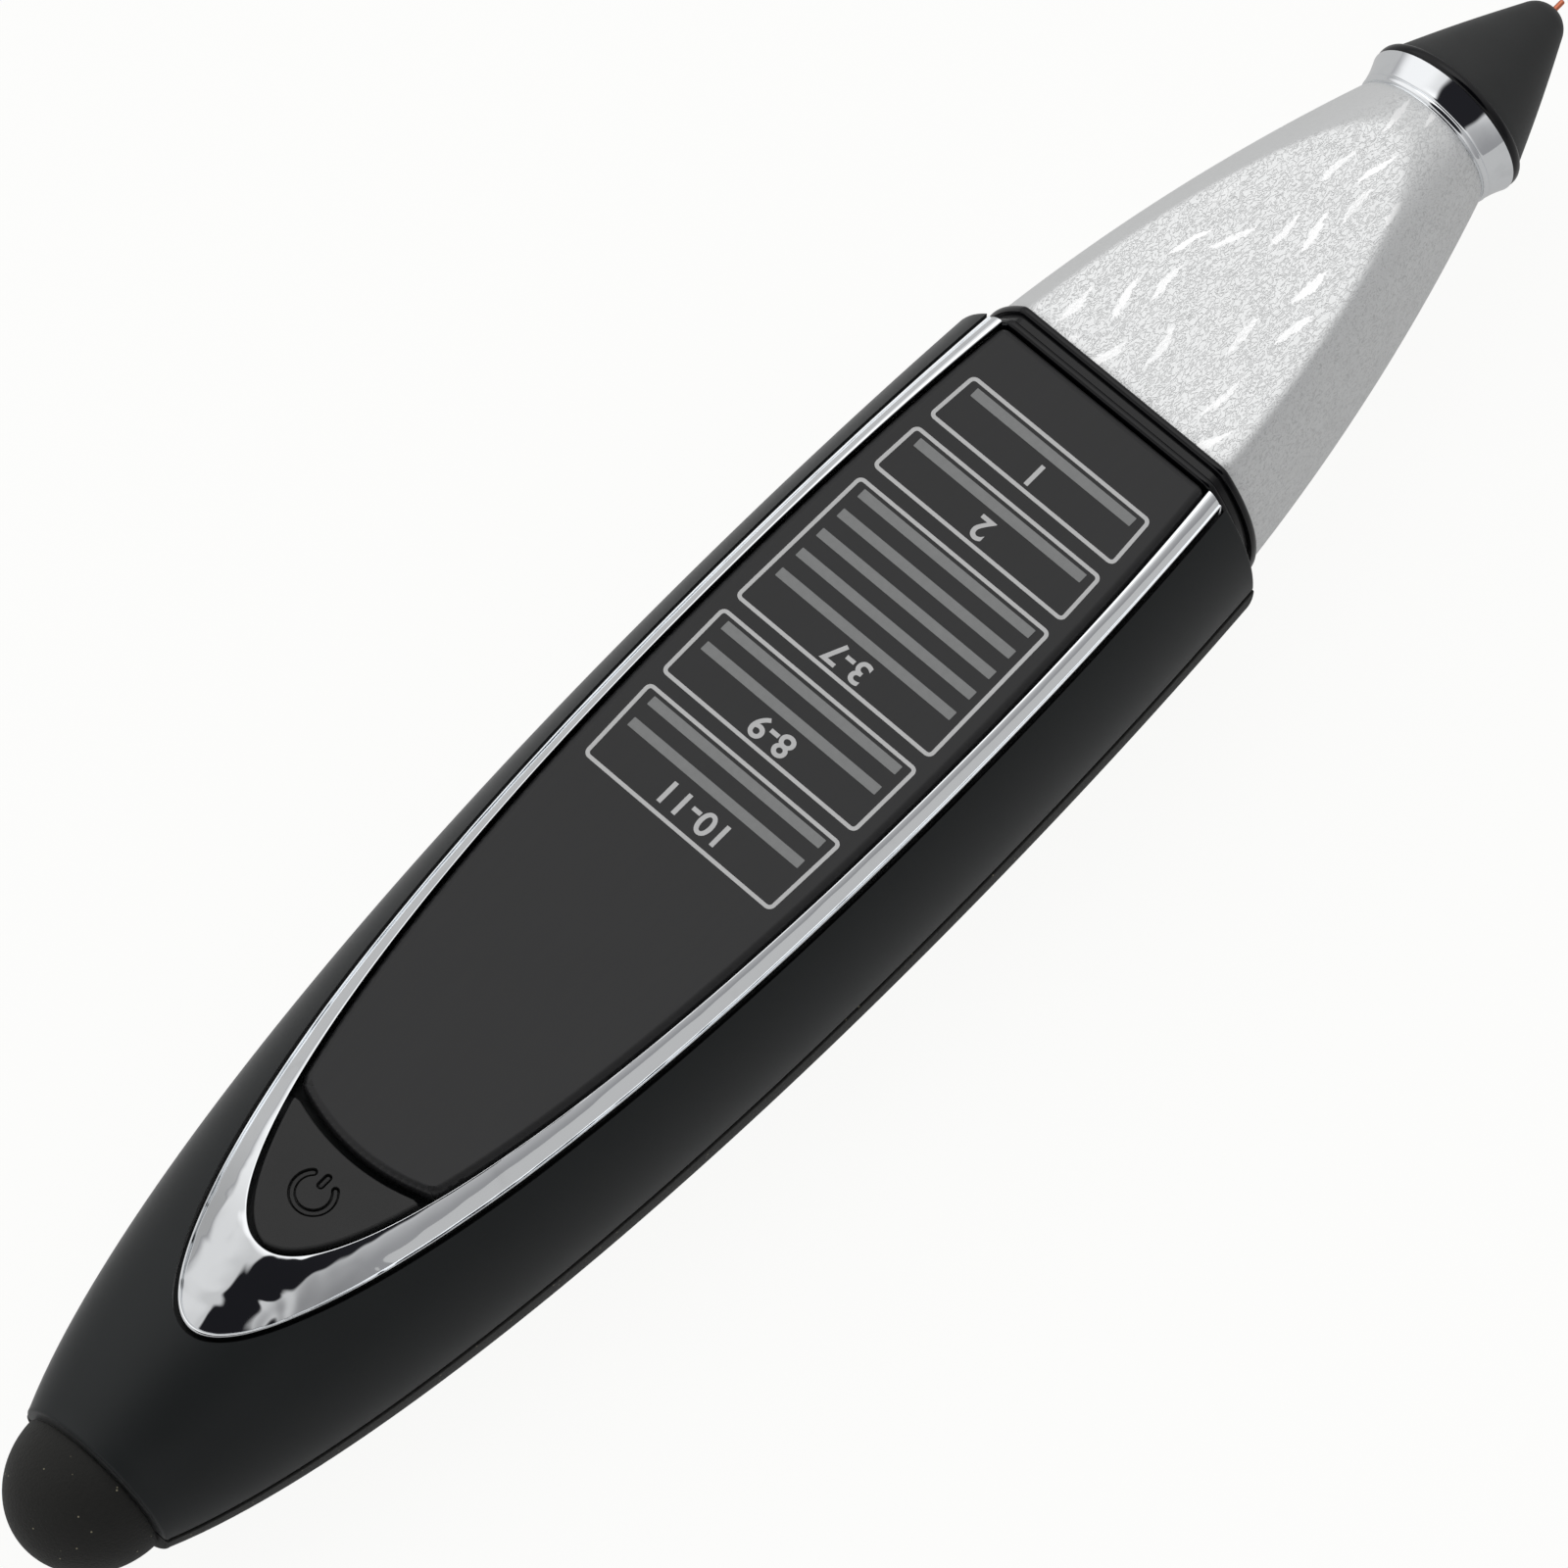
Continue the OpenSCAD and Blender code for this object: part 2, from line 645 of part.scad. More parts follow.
// The window's outline between two levels, in front of the button's arc or behind it.
module window_slab(gap, z_low, z_high) {
    translate([0, 0, z_low]) linear_extrude(z_high - z_low) polygon(window_outline(gap));
}
module ahead_of_arc(z_low, z_high) {
    translate([x_arc, -far / 2, z_low]) cube([far, far, z_high - z_low]);
    translate([x_arc, 0, z_low]) cylinder(r = button_arc_r - button_arc_gap / 2, h = z_high - z_low);
}

module display_panel() {
    color("#3a3a3a") difference() {
        intersection() {
            window_slab(panel_gap, body_h - panel_t, body_h);
            ahead_of_arc(z_deck, body_h + spare);
        }
        translate([x_panel, 0, body_h - panel_lip]) rotate([0, -45, 0])
            translate([0, -far / 2, 0]) cube([far, far, far]);
    }
}

module light_diffuser() {
    color("#e8e8e0") intersection() {
        translate([-diffuser_inset, 0, 0])
            window_slab(panel_gap + diffuser_inset, z_deck, body_h - panel_t);
        translate([diffuser_inset, 0, 0]) ahead_of_arc(z_deck - spare, body_h);
    }
}

module light_pipes() {
    color("#c8ccd0") for (x = bar_places) translate([x - bar_w / 2, -bar_l / 2, z_under_deck - pipe_foot])
        cube([bar_w, bar_l, deck_t + pipe_foot]);
}

// The power sign: a broken ring with a bar through its gap, which faces the tip.
module power_sign(depth) {
    difference() {
        cylinder(r = sign_r, h = depth);
        translate([0, 0, -spare]) cylinder(r = sign_r - sign_line, h = depth + 2 * spare);
        translate([0, -1.6 * sign_line, -spare]) cube([2 * sign_r, 3.2 * sign_line, depth + 2 * spare]);
    }
    translate([0.22 * sign_r, -0.48 * sign_line, 0]) cube([0.75 * sign_r, 0.96 * sign_line, depth]);
}

module power_button() {
    z_plate = body_h - button_t;
    z_stem = z_board_top + switch_h + stem_rise;
    color("#343434") difference() {
        union() {
            difference() {
                window_slab(button_gap, z_plate, body_h);
                translate([x_arc, 0, z_deck]) cylinder(r = button_arc_r + button_arc_gap / 2, h = far);
                translate([x_arc, -far / 2, z_deck]) cube([far, far, far]);
            }
            translate([x_button, 0, z_stem]) cylinder(r = plunger_r, h = body_h - button_t / 2 - z_stem);
        }
        translate([x_button, 0, body_h - sign_depth]) power_sign(sign_depth + spare);
    }
}

module tail_cap() {
    seam = -body_rear_l - cap_gap;
    dome_l = cap_l - cap_gap;
    dome = [for (a = [0 : 6 : 90]) [cap_r * cos(a), seam - dome_l * sin(a)]];
    x_plug = seam + cap_gap + plug_l;
    color("#222220") body_frame() turned(concat([[0, x_plug], [plug_r, x_plug], [plug_r, seam]], dome));
}

// The nose's section: a disc with a flat above and below, along +X.
module nose_section(r, flat, l) {
    intersection() {
        rod(r, l);
        translate([0, -r, -flat]) cube([l, 2 * r, 2 * flat]);
    }
}

module nose_gasket() {
    rim_l = gasket_l / 3;
    r = nose_r + gasket_step;
    flat = flat_base + gasket_step;
    color("#0c0c0d") translate([x_front, 0, z_nose]) difference() {
        union() {
            nose_section(r - gasket_groove, flat - gasket_groove, gasket_l);
            for (x = [0, gasket_l - rim_l]) translate([x, 0, 0]) nose_section(r, flat, rim_l);
        }
        translate([-spare, 0, 0]) rod(spigot_r + fit, gasket_l + 2 * spare);
    }
}

// The nose's outline is one long arc from its base to its neck.
module nose_shell() {
    chord = [neck_r - nose_r, nose_l];
    middle = [nose_r + neck_r, nose_l] / 2;
    inward = [-chord[1], chord[0]] / norm(chord);
    centre = middle + inward * sqrt(pow(nose_arc_r, 2) - pow(norm(chord) / 2, 2));
    a0 = atan2(-centre[1], nose_r - centre[0]);
    a1 = atan2(nose_l - centre[1], neck_r - centre[0]);
    steps = 14;
    arc = [for (i = [0 : steps]) let (a = a0 + (a1 - a0) * i / steps) centre + nose_arc_r * [cos(a), sin(a)]];
    lip_r = spigot_r + spigot_lip;
    color("#b4b6b8") difference() {
        union() {
            translate([x_nose, 0, z_nose]) intersection() {
                turned(concat([[0, 0]], arc, [[0, nose_l]]));
                rotate([90, 0, 0]) translate([0, 0, -nose_r]) linear_extrude(2 * nose_r)
                    polygon([[0, -flat_base], [nose_l, -flat_neck], [nose_l, flat_neck], [0, flat_base]]);
            }
            translate([x_barrel, 0, z_nose]) rod(spigot_r, x_nose - x_barrel + spare);
            translate([x_barrel, 0, z_nose]) rod(lip_r, spigot_lip_t);
        }
        translate([x_barrel - spare, 0, z_nose]) rod(nose_bore_r, far);
    }
}

module collar_ring() {
    flare = [for (t = [0 : 0.1 : 1]) [neck_r + (collar_r - neck_r) * pow(t, collar_bow), collar_l * t]];
    color("#c4c8cc") translate([x_neck, 0, z_nose])
        turned(concat([[nose_bore_r, 0]], flare, [[nose_bore_r, collar_l]]));
}

module cone_seal() {
    color("#0c0c0d") translate([x_seal, 0, z_nose])
        turned([[nose_bore_r, 0], [collar_r, 0], [collar_r, seal_l], [nose_bore_r, seal_l]]);
}

// The cone runs straight from its base to a round end that it meets smoothly.
module probe_cone() {
    end = cone_l - cone_end_r;
    slope = atan2(cone_r, end) - asin(cone_end_r / norm([cone_r, end]));
    pin_bore_r = pin_r + run_clear;
    round_end = [for (i = [0 : 8]) let (a = 90 - slope - (90 - slope) * i / 8)
        [cone_end_r * sin(a), end + cone_end_r * cos(a)]];
    color("#343535") translate([x_cone, 0, z_nose]) difference() {
        turned(concat([[0, 0], [cone_r, 0]], round_end));
        translate([-spare, 0, 0]) rod(nose_bore_r, barrel_grip + fit + spare);
        rod(rod_bore_r, cone_l - cone_end_t);
        rod(pin_bore_r, cone_l + spare);
    }
}

module probe_pin() {
    color("#be6450") translate([x_rod_end, 0, z_nose]) rod(pin_r, x_pin - x_rod_end);
}

module probe_plunger() {
    color("#c8a860") translate([0, 0, z_nose]) {
        translate([x_head_rear, 0, 0]) rod(barrel_bore_r - run_clear, head_l);
        translate([x_head_front - spare, 0, 0]) rod(rod_r, x_rod_end - x_head_front + spare);
    }
}

module probe_spring() {
    color("#a0a4a8") translate([x_spring_rear + fit, 0, z_nose])
        coil(spring_r, spring_r, spring_l - 2 * fit, spring_turns, spring_wire_r);
}

module probe_barrel() {
    l = x_cone + barrel_grip - x_barrel;
    color("#c8b070") translate([x_barrel, 0, z_nose]) difference() {
        rod(barrel_r, l);
        translate([-spare, 0, 0]) rod(barrel_bore_r, x_stop - x_barrel + spare);
        rod(rod_bore_r, l + spare);
    }
}

// The plug's post stands inside the spring and stops the plunger at the end of its travel.
module barrel_plug() {
    post_l = spring_l - pin_travel - run_clear;
    plug_post_r = spring_r - spring_wire_r - 2 * run_clear;
    color("#d8d4c8") translate([x_plug_rear, 0, z_nose]) {
        rod(barrel_bore_r - fit, barrel_plug_l);
        rod(plug_post_r, barrel_plug_l + post_l);
    }
}

// Each lead runs back from the plug, bends up and ends at the underside of the board.
module probe_leads() {
    x_rise = x_board_front - lead_back;
    x_bend = x_rise + lead_bend;
    color("#a02020") for (side = [-1, 1]) translate([0, side * lead_half, 0]) {
        translate([x_bend, 0, z_nose]) rod(lead_r, x_plug_rear - x_bend);
        translate([x_bend, 0, z_nose + lead_bend]) rotate([90, 180, 0])
            rotate_extrude(angle = 90) translate([lead_bend, 0]) circle(r = lead_r);
        translate([x_rise, 0, z_nose + lead_bend]) cylinder(r = lead_r, h = z_board - z_nose - lead_bend);
    }
}

module main_board() {
    w = board_half_w;
    c = board_chamfer;
    color("#1e5a34") difference() {
        translate([0, 0, z_board]) linear_extrude(board_t) polygon([[x_board_front, -w], [x_board_front, w],
            [x_board_rear + c, w], [x_board_rear, w - c], [x_board_rear, c - w], [x_board_rear + c, -w]]);
        at_board_screws() cylinder(r = screw_r + screw_clear, h = far);
    }
}

module indicator_leds() {
    color("#f0f0e0") for (x = bar_places) translate([x - lamp_w / 2, -lamp_l / 2, z_board_top])
        cube([lamp_w, lamp_l, lamp_h]);
}

module controller_chip() {
    color("#202020") translate([x_wide - chip_back - chip_w / 2, -chip_w / 2, z_board - chip_h])
        cube([chip_w, chip_w, chip_h]);
}

module buzzer() {
    hole_r = buzzer_r / 4;
    color("#181818") translate([x_wide + buzzer_ahead, 0, z_board - buzzer_h]) difference() {
        cylinder(r = buzzer_r, h = buzzer_h);
        translate([0, 0, -spare]) cylinder(r = hole_r, h = buzzer_h / 2 + spare);
    }
}

module power_switch() {
    color("#282828") translate([x_button, 0, z_board_top]) difference() {
        translate([-switch_w / 2, -switch_w / 2, 0]) cube([switch_w, switch_w, switch_h]);
        translate([0, 0, switch_h - stem_grip - stem_rise]) cylinder(r = stem_r + run_clear, h = far);
    }
}

module switch_stem() {
    color("#c0c0c0") translate([x_button, 0, z_board_top + switch_h - stem_grip])
        cylinder(r = stem_r, h = stem_grip + stem_rise);
}

// A screw pointing up from its head, which hangs below z = 0.
module screw(l) {
    slot_w = screw_head_r / 3;
    cylinder(r = screw_r, h = l);
    difference() {
        translate([0, 0, -screw_head_h]) cylinder(r = screw_head_r, h = screw_head_h);
        for (turn = [0, 90]) rotate([0, 0, turn])
            translate([-slot_w / 2, -0.7 * screw_head_r, -screw_head_h - spare])
                cube([slot_w, 1.4 * screw_head_r, spare + screw_head_h / 2]);
    }
}

module board_screws() {
    color("#a8acb0") translate([0, 0, z_board]) at_board_screws() screw(board_t + board_thread);
}

module casing_screws() {
    color("#a8acb0") translate([0, 0, head_seat]) at_posts() screw(z_axis + casing_thread - head_seat);
}

// Place of the charging board's rear end, its length and its top, in the body's own frame.
usb_rear = -body_rear_l + tail_wall + usb_gap;
usb_board_l = x_link - x_wide + usb_board_over - usb_rear;
usb_top = -usb_h / 2;

module usb_board() {
    color("#1e5a34") body_frame() translate([usb_rear, -usb_board_w / 2, usb_top - usb_board_t])
        cube([usb_board_l, usb_board_w, usb_board_t]);
}

module usb_socket() {
    tongue_w = usb_w / 2;
    tongue_h = usb_h / 4;
    color("#b0b4b8") body_frame() translate([usb_rear, 0, usb_top]) {
        difference() {
            translate([0, -usb_w / 2, 0]) cube([usb_l, usb_w, usb_h]);
            translate([-spare, usb_wall - usb_w / 2, usb_wall])
                cube([usb_l - usb_wall + spare, usb_w - 2 * usb_wall, usb_h - 2 * usb_wall]);
        }
        translate([usb_wall, -tongue_w / 2, usb_h / 2 - tongue_h / 2])
            cube([usb_l - usb_wall - usb_wall / 2, tongue_w, tongue_h]);
    }
}

// Four pins that stand on the charging board and carry the main board's supply.
module link_pins() {
    color("#c8a860") difference() {
        for (i = [-1.5 : 1.5]) translate([x_link, i * link_pitch, 0]) cylinder(r = link_r, h = z_board);
        body_frame() translate([-far, -far / 2, usb_top - far]) cube([2 * far, far, far]);
    }
}

// The left cell's button faces the tip, the right cell's button the tail.
module battery_cells() {
    x_cells = x_bay_rear + contact_t;
    can_l = cell_l - cell_button_l;
    color("#5a6a7a") translate([x_cells, 0, z_cell]) {
        translate([contact_spring_l, cell_y, 0]) rod(cell_r, can_l);
        translate([contact_spring_l, cell_y, 0]) rod(cell_button_r, cell_l);
        translate([cell_button_l, -cell_y, 0]) rod(cell_r, can_l);
        translate([0, -cell_y, 0]) rod(cell_button_r, cell_l);
    }
}

module battery_springs() {
    wide_r = cell_r / 2;
    tight_r = cell_r / 3;
    wire_r = contact_t / 2;
    turns = 3;
    color("#a0a4a8") {
        translate([x_bay_rear + contact_t, cell_y, z_cell])
            coil(wide_r, tight_r, contact_spring_l, turns, wire_r);
        translate([x_bay_front - contact_t, -cell_y, z_cell]) mirror([1, 0, 0])
            coil(wide_r, tight_r, contact_spring_l, turns, wire_r);
    }
}

// Two front plates rise to the board, and one rear plate joins the two cells.
module contact_plates() {
    z_foot = z_cell - contact_w / 2;
    color("#c0c4c8") {
        for (side = [-1, 1]) translate([x_bay_front - contact_t, side * cell_y - contact_w / 2, z_foot])
            cube([contact_t, contact_w, z_board - z_foot]);
        translate([x_bay_rear, -cell_y - contact_w / 2, z_foot])
            cube([contact_t, 2 * cell_y + contact_w, contact_w]);
    }
}

upper_casing();
lower_casing();
trim_bezel();
display_panel();
light_diffuser();
light_pipes();
power_button();
tail_cap();
nose_gasket();
nose_shell();
collar_ring();
cone_seal();
probe_cone();
probe_pin();
probe_plunger();
probe_spring();
probe_barrel();
barrel_plug();
probe_leads();
main_board();
indicator_leds();
controller_chip();
power_switch();
switch_stem();
buzzer();
board_screws();
usb_board();
usb_socket();
link_pins();
battery_cells();
battery_springs();
contact_plates();
battery_door();
casing_screws();
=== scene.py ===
"""Looks of a pen-type gem tester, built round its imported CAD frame. Metres.

The tip points along +X, the window faces +Z, and the pen rests on z = 0.
"""

import json
import math

import bpy
from bpy.props import FloatProperty, FloatVectorProperty, IntProperty, PointerProperty
from mathutils import Matrix, Vector


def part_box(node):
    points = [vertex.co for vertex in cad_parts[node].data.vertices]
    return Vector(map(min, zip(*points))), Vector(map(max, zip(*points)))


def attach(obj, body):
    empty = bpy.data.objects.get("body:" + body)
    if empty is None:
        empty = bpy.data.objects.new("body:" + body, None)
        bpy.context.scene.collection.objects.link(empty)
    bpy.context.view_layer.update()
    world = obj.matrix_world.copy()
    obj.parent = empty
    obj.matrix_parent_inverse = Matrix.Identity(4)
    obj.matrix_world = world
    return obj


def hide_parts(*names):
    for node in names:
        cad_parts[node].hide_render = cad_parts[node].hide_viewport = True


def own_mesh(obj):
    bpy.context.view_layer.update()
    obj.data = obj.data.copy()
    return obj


bl_info = {
    "name": "Gem tester pen",
    "version": (1, 0, 0),
    "blender": (4, 5, 0),
    "location": "View3D > Sidebar > Gem tester",
    "description": "Dresses the CAD frame of a pen-type gem tester",
    "category": "Object",
}

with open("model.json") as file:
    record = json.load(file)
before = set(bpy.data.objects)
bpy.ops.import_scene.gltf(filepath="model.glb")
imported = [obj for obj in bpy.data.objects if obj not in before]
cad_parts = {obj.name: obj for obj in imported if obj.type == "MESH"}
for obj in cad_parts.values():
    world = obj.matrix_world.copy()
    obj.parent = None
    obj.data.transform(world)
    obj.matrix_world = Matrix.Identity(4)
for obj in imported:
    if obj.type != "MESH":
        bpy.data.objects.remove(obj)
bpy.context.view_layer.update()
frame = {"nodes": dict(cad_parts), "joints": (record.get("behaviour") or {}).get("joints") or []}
LOW = {name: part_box(name)[0] for name in frame["nodes"]}
HIGH = {name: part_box(name)[1] for name in frame["nodes"]}
MM = 0.001


def length(name, description, default):
    return FloatProperty(name=name, description=description, default=default,
                         unit="LENGTH", subtype="DISTANCE", precision=5)


def linear(level):
    level /= 255
    return level / 12.92 if level <= 0.04045 else ((level + 0.055) / 1.055) ** 2.4


def tint(name, description, red, green, blue):
    return FloatVectorProperty(name=name, description=description, subtype="COLOR", size=3,
                               min=0, max=1, default=(linear(red), linear(green), linear(blue)))


class TesterSizes(bpy.types.PropertyGroup):
    """Sizes that the pieces share"""

    tail_seam: length("Tail seam", "Length from the widest station back to the tail seam", 77.2 * MM)
    tail_close: length("Tail closing", "Length over which the rear outline closes", 84.4 * MM)
    front_close: length("Front closing", "Length over which the front outline would close", 94 * MM)
    body_radius: length("Body radius", "Radius at the widest station", HIGH["upper_casing"].y)
    body_round: FloatProperty(name="Body roundness", description="Exponent of the rear outline",
                              default=2.1, min=2, max=3)
    axis_height: length("Axis height", "Height of the body's axis at the widest station", 10.8 * MM)
    tilt: FloatProperty(name="Tail dip", description="Slope of the body's axis", subtype="ANGLE",
                        default=math.radians(1.2))
    widest: length("Widest station", "Place of the widest station", HIGH["upper_casing"].x - 31.4 * MM)
    wall: length("Wall", "Wall of the casings", 1.6 * MM)
    deck: length("Deck", "Thickness of the deck under the window", 1.4 * MM)
    post_radius: length("Post radius", "Radius of a screw post", 2.4 * MM)
    post_drop: length("Post drop", "Drop of the posts' tops below the body's axis", 1.4 * MM)
    front_post: length("Front posts", "Distance of the front posts from the centre plane", 10 * MM)
    rear_post: length("Rear posts", "Distance of the rear posts from the centre plane", 6.8 * MM)
    screw_head: length("Screw head", "Radius of a casing screw's head", 1.7 * MM)
    screw_recess: length("Screw recess", "Radius of the recess round a screw's head", 1.95 * MM)
    screw_seat: length("Screw seat", "Height at which a screw's head seats", 3.4 * MM)
    screw_hole: length("Screw hole", "Radius of a screw's hole", 1.1 * MM)
    door_gap: length("Door gap", "Gap round the battery door", 0.3 * MM)
    parting_gap: length("Parting gap", "Half of the groove between the casings", 0.12 * MM)
    lower_step: length("Lower step", "Step of the lower casing beyond the upper one", 0.12 * MM)
    bay_wall: length("Bay wall", "Thickness of the battery bay's end walls", 1.4 * MM)
    bore_radius: length("Tail bore", "Radius of the hole behind the tail cap", 4.7 * MM)
    plug_radius: length("Plug radius", "Radius of the tail cap's plug", 4.6 * MM)
    plug_length: length("Plug length", "Length of the tail cap's plug", 1.6 * MM)
    plunger_hole: length("Plunger hole", "Radius of the hole under the button", 1.6 * MM)
    plunger_radius: length("Plunger radius", "Radius of the button's plunger", 1.2 * MM)
    edge: length("Casing edge", "Rounding of the casings' edges", 0.3 * MM)
    window_half: length("Window half width", "Half width of the window at its centre", 11.5 * MM)
    window_reach: length("Window reach", "Length from the window's centre to its tail end", 61.3 * MM)
    window_centre: length("Window centre", "Place of the window's centre ahead of the widest station", 2 * MM)
    panel_gap: length("Panel gap", "Gap between the panel and the trim", 0.2 * MM)
    button_gap: length("Button gap", "Gap between the button and the trim", 0.35 * MM)
    arc_radius: length("Arc radius", "Radius of the seam between panel and button", 17 * MM)
    arc_crown: length("Arc crown", "Place of that seam behind the widest station", 49.9 * MM)
    arc_gap: length("Arc gap", "Width of that seam", 0.7 * MM)
    trim_land: length("Trim land", "Flat along the trim's inner edge", 0.2 * MM)
    trim_setback: length("Trim setback", "Setback of the trim's foot from the casing's skin", 0.1 * MM)
    tail_setback: length("Tail setback", "Setback of the trim's tail end from the casing's skin", 0.33 * MM)
    trim_bulge: length("Trim bulge", "Swell of the trim's slope", 0.16 * MM)
    trim_relief: length("Trim relief", "Groove between the trim's foot and the casing", 0.36 * MM)
    relief_depth: length("Relief depth", "Depth of that groove below the deck", 0.8 * MM)
    rim_drop: length("Rim drop", "Drop of the casing's rim below the window at its front", 0.85 * MM)
    rim_tail: length("Rim at the tail", "Height of the rim above the deck at the tail", 0.25 * MM)
    rim_over: length("Rim overrun", "Reach of the rim past the trim's tail end", 0.2 * MM)
    sign_radius: length("Sign radius", "Outer radius of the power sign", 1.9 * MM)
    sign_line: length("Sign line", "Line width of the power sign", 0.65 * MM)
    sign_depth: length("Sign depth", "Depth of the power sign", 0.55 * MM)
    sign_groove: length("Sign groove", "Width of the groove along the power sign's edges", 0.18 * MM)
    frame_margin: length("Frame margin", "Inset of the printed frames from the window", 1.8 * MM)
    frame_line: length("Frame line", "Line width of the printed frames", 0.32 * MM)
    bar_width: length("Bar width", "Width of an indicator bar", 0.85 * MM)
    bar_margin: length("Bar margin", "Inset of the bars' ends from the window", 2.85 * MM)
    digit_height: length("Digit height", "Size of the printed numbers", 2.85 * MM)
    print_rise: length("Print rise", "Height of the print above the panel", 0.02 * MM)
    nose_height: length("Nose height", "Height of the nose's axis", 12.3 * MM)
    nose_radius: length("Nose radius", "Radius of the nose at its base", HIGH["nose_shell"].y)
    neck_radius: length("Neck radius", "Radius of the nose at its neck", 6.2 * MM)
    nose_arc: length("Nose arc", "Radius of the nose's long curve", 180 * MM)
    flat_base: length("Flat at base", "Half height of the nose's flats at its base", 9 * MM)
    flat_neck: length("Flat at neck", "Half height of the nose's flats at its neck", 6.95 * MM)
    gasket_step: length("Gasket step", "Step of the gasket beyond the nose", 0.35 * MM)
    gasket_groove: length("Gasket groove", "Depth of the gasket's groove", 0.5 * MM)
    probe_bore: length("Probe bore", "Bore of the collar and the seal", 4.4 * MM)
    cone_bore: length("Cone bore", "Bore of the cone at its base", 4.3 * MM)
    collar_radius: length("Collar radius", "Outer radius of the collar and the seal", 7.1 * MM)
    cone_radius: length("Cone radius", "Radius of the cone at its base", 6.7 * MM)
    cone_end: length("Cone end", "Radius of the cone's round end", 2.2 * MM)
    cone_swell: length("Cone swell", "Swell of the cone's slope", 0.1 * MM)
    cap_radius: length("Cap radius", "Radius of the tail cap at its seam", 6.35 * MM)
    sides: IntProperty(name="Sides", description="Sides of a large turned piece",
                       default=192, min=32, max=512)


class TesterFinishes(bpy.types.PropertyGroup):
    """Colours of the finishes"""

    soft_black: tint("Soft black", "Soft-touch paint of the upper casing", 24, 27, 28)
    rubber: tint("Rubber", "Grained rubber of the lower casing, cap and door", 31, 31, 29)
    panel: tint("Panel", "Smoked display panel", 33, 33, 34)
    button: tint("Button", "Moulded button", 49, 49, 49)
    ink: tint("Ink", "Printed frames and numbers", 198, 198, 198)
    bars: tint("Bars", "Unlit indicator bars", 134, 135, 135)
    chrome: tint("Chrome", "Plated trim and collar", 238, 240, 242)
    silver: tint("Silver", "Grained silver of the nose", 226, 227, 227)
    seal: tint("Seal", "Glossy black seals", 6, 6, 9)
    cone: tint("Cone", "Moulded cone", 43, 44, 44)
    copper: tint("Copper", "Copper probe pin", 214, 128, 98)
    floor: tint("Floor", "Studio floor", 246, 246, 245)


class TesterStudio(bpy.types.PropertyGroup):
    """Camera and light"""

    azimuth: FloatProperty(name="Azimuth", description="Side from which the camera looks", subtype="ANGLE",
                           default=math.radians(-48.0))
    elevation: FloatProperty(name="Elevation", description="Height of the camera", subtype="ANGLE",
                             default=math.radians(66.4))
    roll: FloatProperty(name="Roll", description="Roll of the camera", subtype="ANGLE",
                        default=math.radians(0.6))
    distance: length("Distance", "Distance of the camera", 714.3 * MM)
    target: FloatVectorProperty(name="Target", description="Point that the camera looks at", size=3,
                                subtype="XYZ", unit="LENGTH", default=(-7.5 * MM, -3.2 * MM, 22 * MM))
    lens: FloatProperty(name="Lens", description="Focal length in millimetres", default=225, min=20)
    sky: FloatProperty(name="Sky", description="Strength of the surrounding light", default=0.8, min=0)


def sizes():
    return bpy.context.scene.tester_sizes


def finishes():
    return bpy.context.scene.tester_finishes


# Outlines of the pen


def body_radius(s):
    """Radius of the body at a distance s ahead of its widest station, along its axis."""
    z = sizes()
    if s < 0:
        share = max(0.0, 1 - (-s / z.tail_close) ** z.body_round)
        return z.body_radius * share ** (1 / z.body_round)
    return z.body_radius * math.sqrt(1 - (s / z.front_close) ** 2)


def skin_y(x, height):
    """Half width of the body's skin at a place and a height."""
    z = sizes()
    ahead, up = x - z.widest, height - z.axis_height
    along = ahead * math.cos(z.tilt) + up * math.sin(z.tilt)
    above = up * math.cos(z.tilt) - ahead * math.sin(z.tilt)
    return math.sqrt(max(0.0, body_radius(along) ** 2 - above ** 2))


def window_y(x):
    """Half width of the window at a place."""
    z = sizes()
    share = abs(x - z.widest - z.window_centre) / z.window_reach
    return z.window_half * max(0.0, 1 - share ** 2.1) ** (1 / 2.1)


def window_end():
    z = sizes()
    return z.widest + z.window_centre - z.window_reach


def window_side(gap, steps=72):
    """One side of the window's outline from its front to its tail end, drawn in by a gap."""
    front, end = HIGH["display_panel"].x, window_end()
    side = []
    for i in range(steps + 1):
        x = front - (front - end - gap) * (1 - (1 - i / steps) ** 2)
        y = window_y(x - gap * (front - x) / (front - end)) - gap
        if y > 0.02 * MM:
            side.append((x, y))
    return side + [(end + gap, 0.0)]


def rim_slope():
    z = sizes()
    rise = HIGH["trim_bezel"].z - LOW["trim_bezel"].z - z.rim_drop - z.rim_tail
    return rise / (HIGH["upper_casing"].x - window_end())


def rim_z(x):
    """Height of the casing's rim, which dips towards the tail."""
    return LOW["trim_bezel"].z + sizes().rim_tail + rim_slope() * (x - window_end())


def rim_point(t):
    """The casing's skin at the rim, from the tail end, 0, to the front, 1."""
    front, end = HIGH["trim_bezel"].x, LOW["trim_bezel"].x - sizes().rim_over
    x = end + (front - end) * t * t
    return Vector((x, math.copysign(skin_y(x, rim_z(x)), t)))


def trim_foot(t, inset):
    """The trim's foot from the tail end, 0, to the front, 1, drawn in from the skin by an inset."""
    z = sizes()
    nudge = 0.004
    along = (rim_point(t + nudge) - rim_point(t - nudge)).normalized()
    tail = min(1.0, max(0.0, 2 - 4 * t))
    setback = inset + z.trim_setback + (z.tail_setback - z.trim_setback) * tail
    foot = rim_point(t) + Vector((along.y, -along.x)) * setback
    return foot.x, max(0.0, foot.y) if t else 0.0


